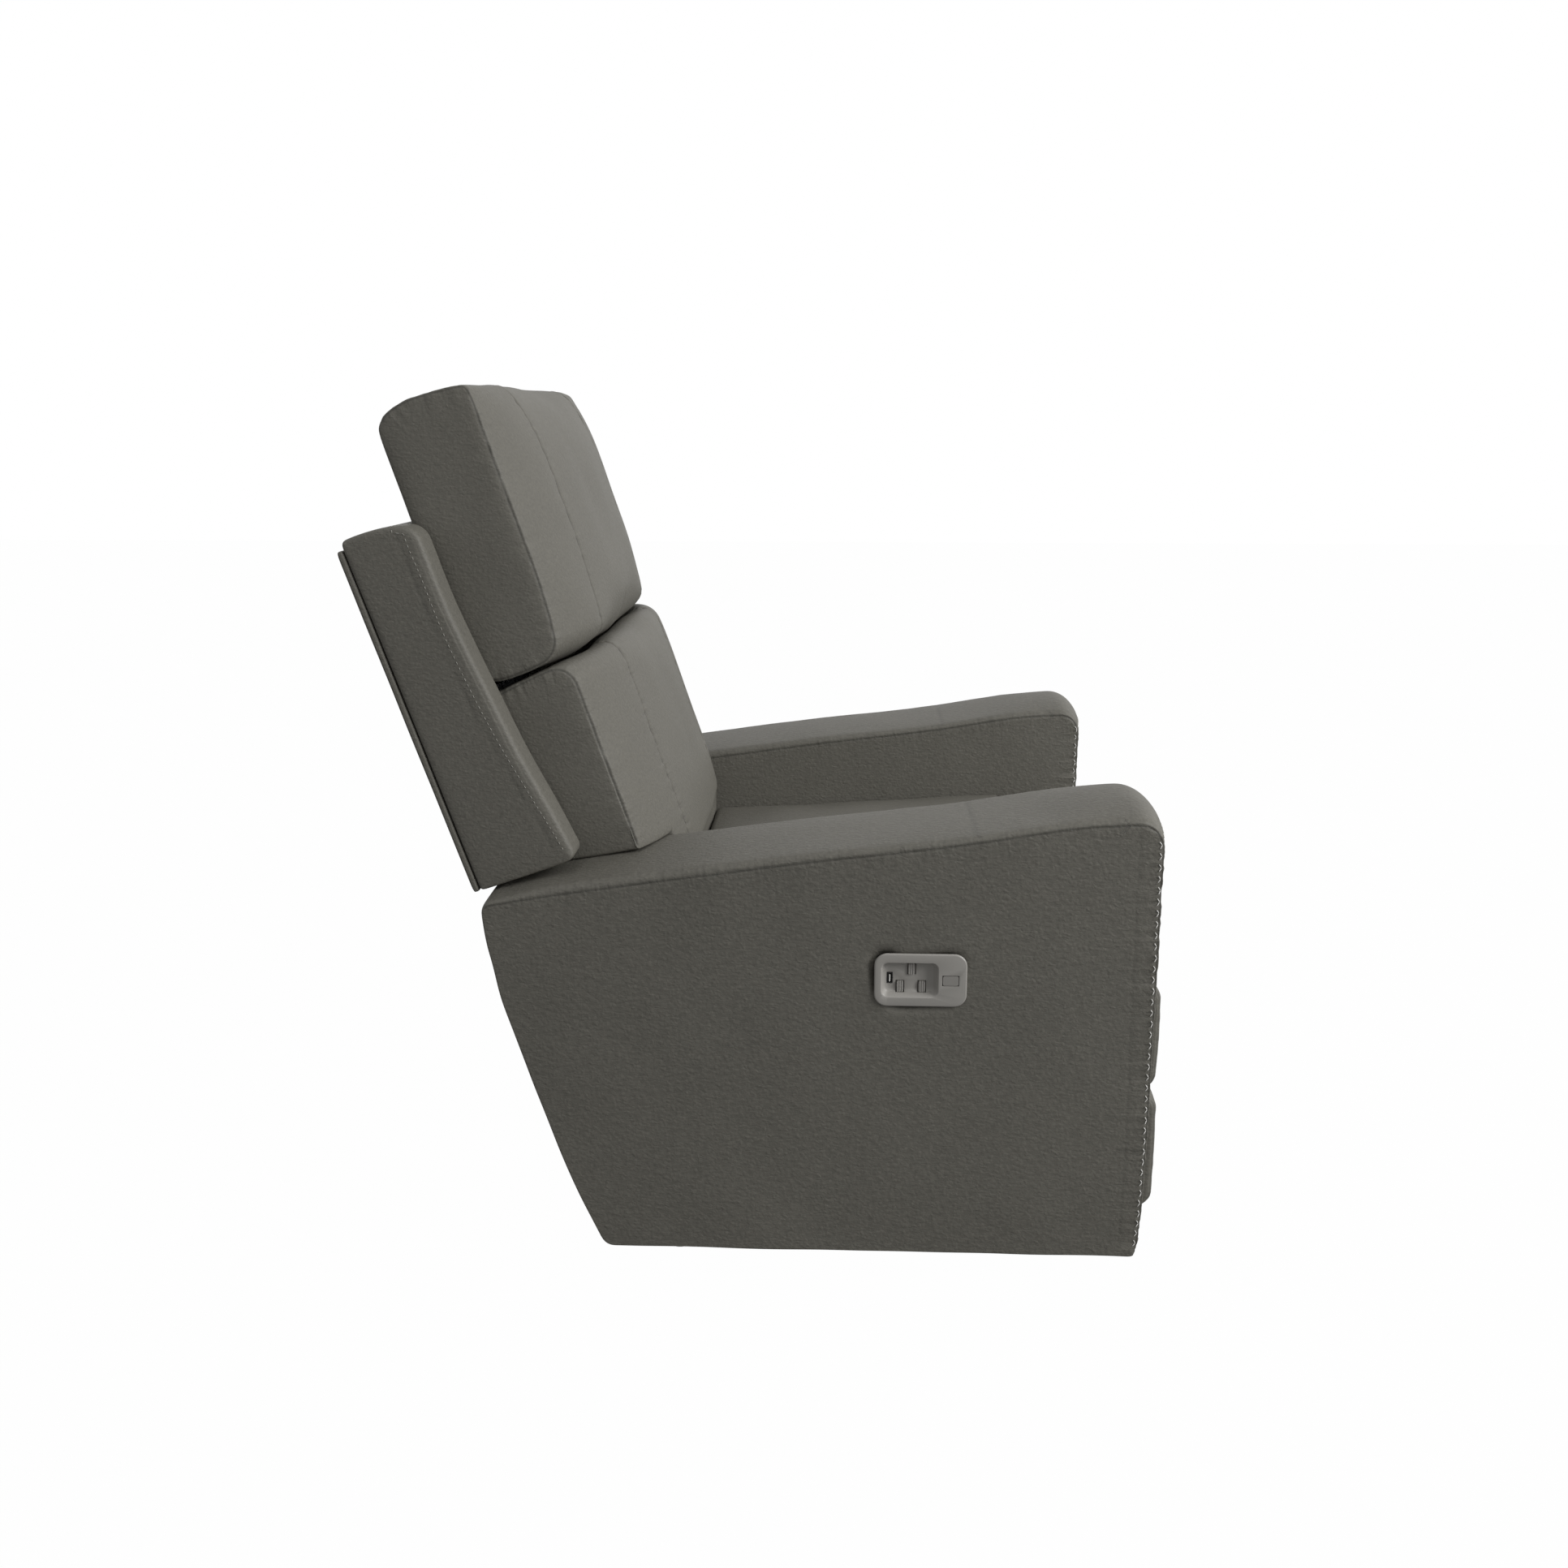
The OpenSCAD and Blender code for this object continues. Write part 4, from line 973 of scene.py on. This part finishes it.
def head_outline():
    rear = [(88, 228), (84, 262), (83, 434), (83, 500), (84, 546), (90, 561)]
    top = [(90, 561), (112, 569), (137, 572), (170, 570), (206, 566)]
    front = [(206, 566), (208, 547), (207, 498), (206, 420), (206, 336), (203, 280), (196, 224)]
    foot = [(196, 224), (175, 222), (139, 219), (112, 220), (88, 228)]
    return outline([rear, top, front, foot], [14, 12, 8, 26], HEAD_COUNTS, pull=0.35)


class RECLINER_OT_head_cushion(ChairOperator):
    """Builds the head cushion, stuffed as cloth and then sewn"""
    bl_idname = "recliner.head_cushion"
    bl_label = "Head Cushion"

    def execute(self, context):
        half = cushion_side() - 1.5
        crown = size("crown")
        ring = head_outline()

        def shape(ring, n, x):
            span = 1 - abs(x / half) ** 4
            ahead = ease(ring[:, 0], 105, 205)
            low = ease(-ring[:, 1], -300, -225) * ahead
            held_top = 1 - (np.clip(ring[:, 1] - 400, 0, 172) / 172) ** 4
            shift = np.zeros_like(ring)
            shift[:, 0] = crown * span * ahead * (0.08 + 0.92 * held_top)
            shift[:, 1] = -7.0 * span * low
            return shift + round_edge(ring, n, half - abs(x), 4.5)

        cover = Cover("head_cushion_cover", ring, HEAD_COUNTS, cushion_places(half, HEAD_SEAM),
                      on_back, shape, 2.0)
        c = cover.corner
        joins = [cover.row(HEAD_SEAM), cover.row(-HEAD_SEAM)]
        held = [cover.ring[:, :c[1] + 2].ravel(), cover.ring[:, -3:].ravel(),
                *(row[c[1]:c[3]] for row in joins)]
        stuff(cover, [cover.rims(4), *held], size("plump"))
        seams = [edge_seam(cover.ring[k, c[1]:], 0.8, 15.0, 12.0, seed) for k, seed in ((1, 1.0), (-2, 6.0))]
        seams += [(row[c[1]:c[3] + 8], 1.7, 2.4, size("pucker"), 13.0, 10.0, seed)
                  for row, seed in zip(joins, (2.0, 8.0))]
        finish_cover(cover, seams, 2.2, 1.0, "headrest", "leather_cushions", 0.85, "head_cushion")
        return {"FINISHED"}


LUMBAR_PARTS = [28, 40, 28, 14, 12, 14]
LUMBAR_SEAM = 190.0
LUMBAR_STEP = -34.0  # height at which the cushion becomes narrow, to pass between the arms
DISH = 139.0  # distance from the tilt axis to which the top is hollowed, for the head cushion's foot
TAN_LEAN = 0.344


class RECLINER_OT_lumbar_cushion(ChairOperator):
    """Builds the lumbar cushion, wide above the arms and narrow between them"""
    bl_idname = "recliner.lumbar_cushion"
    bl_label = "Lumbar Cushion"

    def execute(self, context):
        half = cushion_side() - 1.5
        _, seat_high = solid("seat_cushion")
        narrow = seat_high[0] - 2.5
        crown = size("crown")
        step, foot, rest = LUMBAR_STEP, -157.0, -125
        seat_back = HINGE_IN + (HINGE[0] - seat_high[1] - 1.5 + (rest - HINGE_UP) * sin(LEAN)) / cos(LEAN)
        rear = [(72, step + 22), (72, 100), (72, 207)]
        top = [(72, 207), (103, 207), (137, 211), (176, 215), (204, 214)]
        front = [(204, 214), (205, 150), (205, 104), (205, 49), (205, step)]
        ear_foot = [(205, step), (167, step + 6), (125, step + 13), (72, step + 22)]
        low_front = [(205, step), (204, -60), (200, -110), (190, foot)]
        low_foot = [(190, foot), (130, foot), (72, foot)]
        low_rear = [(72, foot), (72, -90), (72, step + 22)]
        p = LUMBAR_PARTS
        counts = [*p[:3], sum(p[3:])]
        ear = outline([rear, top, front, ear_foot], [4, 8, 26, 3], counts, pull=0.2)
        low = outline([rear, top, front, low_front, low_foot, low_rear], [0, 8, 26, 0, 24, 8], p, pull=0.0)

        def shape(ring, n, x):
            span = 1 - abs(x / half) ** 3.8
            ahead = ease(ring[:, 0], 80, 200)
            shift = np.zeros_like(ring)
            shift[:, 0] = (crown + 5) * span * ahead
            resting = seat_back - TAN_LEAN * (rest - ring[:, 1])
            over = np.clip(ring[:, 0] + shift[:, 0] - resting, 0, None) * ease(-ring[:, 1], 92, 118)
            shift[:, 0] -= over
            if abs(x) > narrow + 0.5:
                shift[:, 1] -= (TAN_LEAN * shift[:, 0] + 3.0) * ease(-ring[:, 1], -step - 60, -step - 8)
            shift += round_edge(ring, n, half - abs(x), 4.5)
            apart = ring + shift - TILT_AT
            reach = np.linalg.norm(apart, axis=1)
            dish = np.clip(DISH - reach, 0, None) * ease(ring[:, 1], 120, 190) * ease(half - abs(x), 50, 140)
            shift[:, 1] -= dish
            return shift

        cover = Cover("lumbar_cushion_cover", lambda x: ear if abs(x) > narrow + 0.5 else low, counts,
                      cushion_places(half, LUMBAR_SEAM, [narrow + 1, narrow]), on_back, shape, 2.0)
        c = cover.corner
        front_end = c[3] + p[3]
        joins = [cover.row(LUMBAR_SEAM), cover.row(-LUMBAR_SEAM)]
        ears = [cover.row(x)[c[3] - 2:] for x in (narrow, narrow + 1, -narrow, -narrow - 1)]
        held = [cover.ring[:, :c[1] + 26].ravel(), cover.ring[:, front_end - 7:].ravel(),
                *ears, *(row[c[1]:front_end] for row in joins)]
        stuff(cover, [cover.rims(4), *held], size("plump"))
        seams = [edge_seam(cover.ring[k, c[1] + 10:c[3]], 0.8, 15.0, 12.0, seed)
                 for k, seed in ((1, 21.0), (-2, 26.0))]
        seams += [(row[c[1] + 12:front_end], 1.9, 2.6, size("pucker") * 1.3, 14.0, 11.0, seed)
                  for row, seed in zip(joins, (22.0, 28.0))]
        finish_cover(cover, seams, 2.2, 2.0, "back", "leather_cushions", 0.85, "lumbar_cushion")
        return {"FINISHED"}


# ---- seat and legrest ----

SEAT_COUNTS = [12, 64, 12, 64]


class RECLINER_OT_seat_cushion(ChairOperator):
    """Builds the seat cushion with its rolled front edge"""
    bl_idname = "recliner.seat_cushion"
    bl_label = "Seat Cushion"

    def execute(self, context):
        low, high = solid("seat_cushion")
        half = high[0] - 1.5
        f, r, z, t = low[1], high[1], low[2], high[2]
        rise = size("seat_crown")
        ring = outline([[(f, z), (f - 1, z + 50), (f, t)],
                        [(f, t), (f + 60, t + 1), (f + 180, t - 3), (f + 400, t - 17), (r, t - 28)],
                        [(r, t - 28), (r, z)], [(r, z), (f + 250, z), (f, z)]],
                       [8, 34, 8, 6], SEAT_COUNTS)

        def shape(ring, n, x):
            span = 1 - abs(x / half) ** 3
            shift = np.zeros_like(ring)
            shift[:, 1] = rise * span * np.clip(n[:, 1], 0, 1) * (1 - 0.8 * ease(ring[:, 0], r - 120, r))
            shift[:, 0] = -6.0 * span * np.clip(-n[:, 0], 0, 1)
            return shift + round_edge(ring, n, half - abs(x), 12.0)

        cover = Cover("seat_cushion_cover", ring, SEAT_COUNTS,
                      whole_width(half, (0, 0.8, 2.6, 5.5, 10), CUSHION_STEP), upright, shape)
        c = cover.corner
        held = [cover.ring[:, :3].ravel(), cover.ring[:, c[2] - 2:].ravel()]
        stuff(cover, [cover.rims(4), *held], size("plump") * 0.7)
        seams = [edge_seam(cover.ring[k, 2:c[2]], 0.7, 14.0, 13.0, seed)
                 for k, seed in ((2, 31.0), (-3, 36.0))]
        seams.append((cover.ring[3:-3, c[1] + 17], 2.4, 3.4, size("pucker"), 16.0, 14.0, 33.0))
        finish_cover(cover, seams, 2.0, 3.0, "seat", "leather_cushions", 0.8, "seat_cushion")
        return {"FINISHED"}


def legrest_pad(name, node, seed):
    low, high = solid(node)
    half = high[0] - 1.0
    f, r, z, t = low[1] + 1.5, high[1] - 0.3, low[2], high[2]
    counts = [20, 8, 20, 8]
    ring = outline([[(f, z), (f - 1, (z + t) / 2), (f, t)], [(f, t), (r, t)],
                    [(r, t), (r, z)], [(r, z), (f, z)]], [26, 26, 4, 4], counts)

    def shape(ring, n, x):
        span = 1 - abs(x / half) ** 4
        shift = round_edge(ring, n, half - abs(x), 8.0)
        shift[:, 0] += (3.0 - 4.0 * span) * ease(-ring[:, 0], -r, -f - 10)
        return shift

    cover = Cover(name, ring, counts, whole_width(half, (0, 0.6, 2, 4.5, 8), CUSHION_STEP),
                  upright, shape)
    c = cover.corner
    held = [cover.ring[:, c[1] + 4:c[2]].ravel(), cover.ring[:, c[2] - 3:c[4] - 4].ravel()]
    stuff(cover, [cover.rims(2), *held], 3.0)
    seams = [(cover.ring[k, 1:c[1]], size("seam_depth"), 1.8, 0.7, 12.0, 12.0, s)
             for k, s in ((2, seed), (-3, seed + 5))]
    finish_cover(cover, seams, 1.6, seed, "legrest", "leather_cushions", 0.8, node)


class RECLINER_OT_legrest(ChairOperator):
    """Builds the two pads of the legrest"""
    bl_idname = "recliner.legrest"
    bl_label = "Legrest Pads"

    def execute(self, context):
        legrest_pad("legrest_cover_upper", "legrest_pad_upper", 41.0)
        legrest_pad("legrest_cover_lower", "legrest_pad_lower", 51.0)
        return {"FINISHED"}


# ---- control plate ----


def choose(obj, test):
    """Selects the faces of a mesh in edit mode that pass a test."""
    work = bmesh.from_edit_mesh(obj.data)
    for face in work.faces:
        face.select_set(False)
    for face in work.faces:
        if test(face):
            face.select_set(True)
    work.select_flush_mode()
    bmesh.update_edit_mesh(obj.data)


def block(name, centre, sides):
    """A box, from its centre and its three sides in metres."""
    bpy.ops.object.select_all(action="DESELECT")
    bpy.ops.mesh.primitive_cube_add(size=1, location=tuple(centre))
    obj = bpy.context.object
    obj.name = obj.data.name = name
    obj.scale = sides
    bpy.ops.object.transform_apply(location=True, rotation=True, scale=True)
    return obj


def fit_selection(centre, sides, old_centre, old_sides):
    """Scales and moves the selected face from one rectangle to another, in YZ."""
    bpy.ops.transform.resize(value=(1, sides[0] / old_sides[0], sides[1] / old_sides[1]),
                             center_override=tuple(old_centre))
    shift = Vector(centre) - Vector(old_centre)
    bpy.ops.transform.translate(value=(0, shift.y, shift.z))


PLATE = 2.5 * MM  # thickness of the plate
RECESS_DEPTH = 9 * MM
OPENING = np.array((68, 43)) * MM  # width and height of the recess at its mouth
CORNER = 15.5 * MM
CAP_SLIDE = 1.5 * MM  # how far a button is longer and taller than its visible cap
GAPS = {"button_upper": (1.4, 0.5), "button_lower_left": (1.4, 0.5), "button_lower_right": (1.4, 0.5),
        "home_button": (0.7, 0.7), "usb_port": (0.2, 0.2)}
# The recess goes down in steps: (depth, inset at its sides, inset at its ends).
SLOPE = ((0.5, 0.8, 0.8), (0.9, 0.5, 0.5), (3.4, 1.7, 1.4), (3.6, 2.3, 1.6), (1.1, 2.6, 1.5), (0.4, 2.4, 1.4))


class RECLINER_OT_control_plate(ChairOperator):
    """Models the control plate with its sloping recess, and cuts it for the buttons"""
    bl_idname = "recliner.control_plate"
    bl_label = "Control Plate"

    def cut(self, obj):
        """Opens the plate round each button and the charging port."""
        for node, (wide, tall) in GAPS.items():
            low, high = corners(node)
            if node != "usb_port":
                low, high = low + (0, CAP_SLIDE, CAP_SLIDE), high - (0, CAP_SLIDE, CAP_SLIDE)
            spot = (low + high) / 2
            cutter = block("cutter", (low[0], spot[1], spot[2]),
                           (0.04, high[1] - low[1] + 2 * wide * MM, high[2] - low[2] + 2 * tall * MM))
            apply(obj, "BOOLEAN", operation="DIFFERENCE", solver="EXACT", object=cutter)
            bpy.data.objects.remove(cutter)

    def execute(self, context):
        low, high = corners("control_bezel")
        whole = (low[0], *(low + high)[1:] / 2)
        outside = (high - low)[1:]
        upper_low, upper_high = corners("button_upper")
        recess = (low[0], (upper_low[1] + upper_high[1]) / 2 + 2.5 * MM, whole[2])
        obj = block("control_plate", (low[0] + PLATE / 2, *whole[1:]), (PLATE, *outside))
        bpy.ops.object.mode_set(mode="EDIT")
        work = bmesh.from_edit_mesh(obj.data)
        for edge in work.edges:
            a, b = edge.verts
            edge.select_set(abs(a.co.x - b.co.x) > PLATE / 2)
        bmesh.update_edit_mesh(obj.data)
        bpy.ops.mesh.bevel(offset=CORNER, segments=9, profile=0.5, affect="EDGES")
        choose(obj, lambda f: f.normal.x > 0.9)
        bpy.ops.mesh.inset(thickness=3 * MM, depth=0.0)
        fit_selection(recess, OPENING + 3 * MM, whole, outside - 6 * MM)
        bpy.ops.mesh.extrude_region_move(
            TRANSFORM_OT_translate={"value": (RECESS_DEPTH - PLATE + 1.5 * MM, 0, 0)})
        choose(obj, lambda f: f.normal.x < -0.9)
        bpy.ops.mesh.inset(thickness=1.3 * MM, depth=0.0)
        bpy.ops.transform.translate(value=(-0.9 * MM, 0, 0))
        bpy.ops.mesh.inset(thickness=3 * MM, depth=0.0)
        wide, tall = OPENING + 2 * MM
        fit_selection(recess, (wide, tall), whole, outside - 8.6 * MM)
        for drop, side, end in SLOPE:
            aside, rise = side * 0.12 * MM, end * 0.3 * MM
            bpy.ops.mesh.extrude_region_move(TRANSFORM_OT_translate={"value": (drop * MM, aside, rise)})
            recess = (recess[0], recess[1] + aside, recess[2] + rise)
            bpy.ops.transform.resize(value=(1, 1 - 2 * side * MM / wide, 1 - 2 * end * MM / tall),
                                     center_override=recess)
            wide, tall = wide - 2 * side * MM, tall - 2 * end * MM
        bpy.ops.object.mode_set(mode="OBJECT")
        self.cut(obj)
        apply(obj, "BEVEL", width=0.5 * MM, segments=2, limit_method="ANGLE", angle_limit=radians(25))
        bpy.ops.object.shade_smooth_by_angle(angle=radians(40))
        dress(obj, material("control plastic"), "base")
        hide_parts("control_bezel")
        low, high = corners("usb_port")
        spot = (low + high) / 2
        tongue = block("usb_tongue", (low[0] - 0.5 * MM, spot[1], spot[2]),
                       (1.6 * MM, 1.5 * MM, (high[2] - low[2]) * 0.62))
        dress(tongue, material("nylon"), "base")
        return {"FINISHED"}


# ---- studio ----


FLOOR_GLOW = 0.99  # how white the floor looks to the camera; it still lights the chair as grey
# A lamp: its name, its place, what it points at, its side, and its share of the key lamp's power.
LAMPS = (("front lamp", (-1.9, -4.1, 2.75), (0, 0, 0.6), 2.6, 1.0),
         ("top lamp", (-0.6, 0.4, 4.2), (0, 0, 0.5), 2.4, 0.04))
CAMERA_AT = (-2.1599, -0.084, 1.07165)
CAMERA_RIGHT = (0.041361, -0.999146, 0.0)
CAMERA_BACK = (-0.971728, -0.040226, 0.232660)
CAMERA_LENS = 34.584


class RECLINER_OT_studio(ChairOperator):
    """Sets the floor, the lamps, the surroundings and the camera"""
    bl_idname = "recliner.studio"
    bl_label = "Studio"

    def execute(self, context):
        studio = context.scene.recliner_studio
        scene = context.scene
        scene.view_settings.view_transform = "Standard"
        bpy.ops.object.select_all(action="DESELECT")
        bpy.ops.mesh.primitive_plane_add(size=24.0, location=(0, 0, 0))
        floor = context.object
        floor.name = "studio_floor"
        paint = bpy.data.materials.new("studio floor")
        paint.use_nodes = True
        s = Sheet(paint.node_tree)
        shader = paint.node_tree.nodes["Principled BSDF"]
        shader.inputs["Base Color"].default_value = (*studio.floor, 1.0)
        shader.inputs["Roughness"].default_value = 0.9
        seen = s.add("ShaderNodeLightPath").outputs
        glow = s.add("ShaderNodeEmission", {"Color": (1, 1, 1, 1), "Strength": 1.0})
        blend = s.add("ShaderNodeMixShader", {0: s.maths("MULTIPLY", seen["Is Camera Ray"], FLOOR_GLOW),
                                              1: shader.outputs[0], 2: glow.outputs[0]})
        s.tree.links.new(blend.outputs[0], paint.node_tree.nodes["Material Output"].inputs[0])
        floor.data.materials.append(paint)

        world = bpy.data.worlds.new("studio")
        world.use_nodes = True
        scene.world = world
        s = Sheet(world.node_tree)
        sky = world.node_tree.nodes["Background"]
        sky.inputs["Color"].default_value = (1, 1, 1, 1)
        ray = s.add("ShaderNodeLightPath").outputs
        mirrored = s.maths("MAXIMUM", ray["Is Glossy Ray"], ray["Is Transmission Ray"])
        shown = s.maths("MAXIMUM", ray["Is Camera Ray"], mirrored)
        s.tree.links.new(s.ramp(shown, 0.0, 1.0, studio.ambient, 1.0), sky.inputs["Strength"])

        for name, place, target, side, power in LAMPS:
            data = bpy.data.lights.new(name, "AREA")
            data.shape = "SQUARE"
            data.size = side
            data.energy = studio.key * power
            lamp = bpy.data.objects.new(name, data)
            context.collection.objects.link(lamp)
            aim = (Vector(target) - Vector(place)).to_track_quat("-Z", "Y")
            lamp.matrix_world = Matrix.Translation(place) @ aim.to_matrix().to_4x4()

        data = bpy.data.cameras.new("camera")
        data.sensor_width = 36.0
        data.lens = CAMERA_LENS
        camera = bpy.data.objects.new("camera", data)
        context.collection.objects.link(camera)
        right, back = Vector(CAMERA_RIGHT), Vector(CAMERA_BACK)
        turn = Matrix((right, back.cross(right), back)).transposed().to_4x4()
        camera.matrix_world = Matrix.Translation(CAMERA_AT) @ turn
        scene.camera = camera
        return {"FINISHED"}


# ---- add-on ----

PIECES = [RECLINER_OT_finishes, RECLINER_OT_arms, RECLINER_OT_back_shell, RECLINER_OT_head_cushion,
          RECLINER_OT_lumbar_cushion, RECLINER_OT_seat_cushion, RECLINER_OT_legrest,
          RECLINER_OT_control_plate, RECLINER_OT_studio]


GROUPS = {"recliner_sizes": UpholsterySizes, "recliner_colours": ChairColours,
          "recliner_studio": StudioSettings}


class RECLINER_PT_panel(bpy.types.Panel):
    bl_idname = "RECLINER_PT_panel"
    bl_label = "Recliner Armchair"
    bl_space_type = "VIEW_3D"
    bl_region_type = "UI"
    bl_category = "Recliner"

    def draw(self, context):
        for name, group in GROUPS.items():
            box = self.layout.box()
            for key in group.__annotations__:
                box.prop(getattr(context.scene, name), key)
        for piece in PIECES:
            self.layout.operator(piece.bl_idname)


def register():
    for cls in [*GROUPS.values(), *PIECES, RECLINER_PT_panel]:
        bpy.utils.register_class(cls)
    for name, group in GROUPS.items():
        setattr(bpy.types.Scene, name, bpy.props.PointerProperty(type=group))


def unregister():
    for name in GROUPS:
        delattr(bpy.types.Scene, name)
    for cls in reversed([*GROUPS.values(), *PIECES, RECLINER_PT_panel]):
        bpy.utils.unregister_class(cls)


def main():
    register()
    for piece in PIECES:
        group, name = piece.bl_idname.split(".")
        getattr(getattr(bpy.ops, group), name)()


if __name__ == "__main__":
    main()
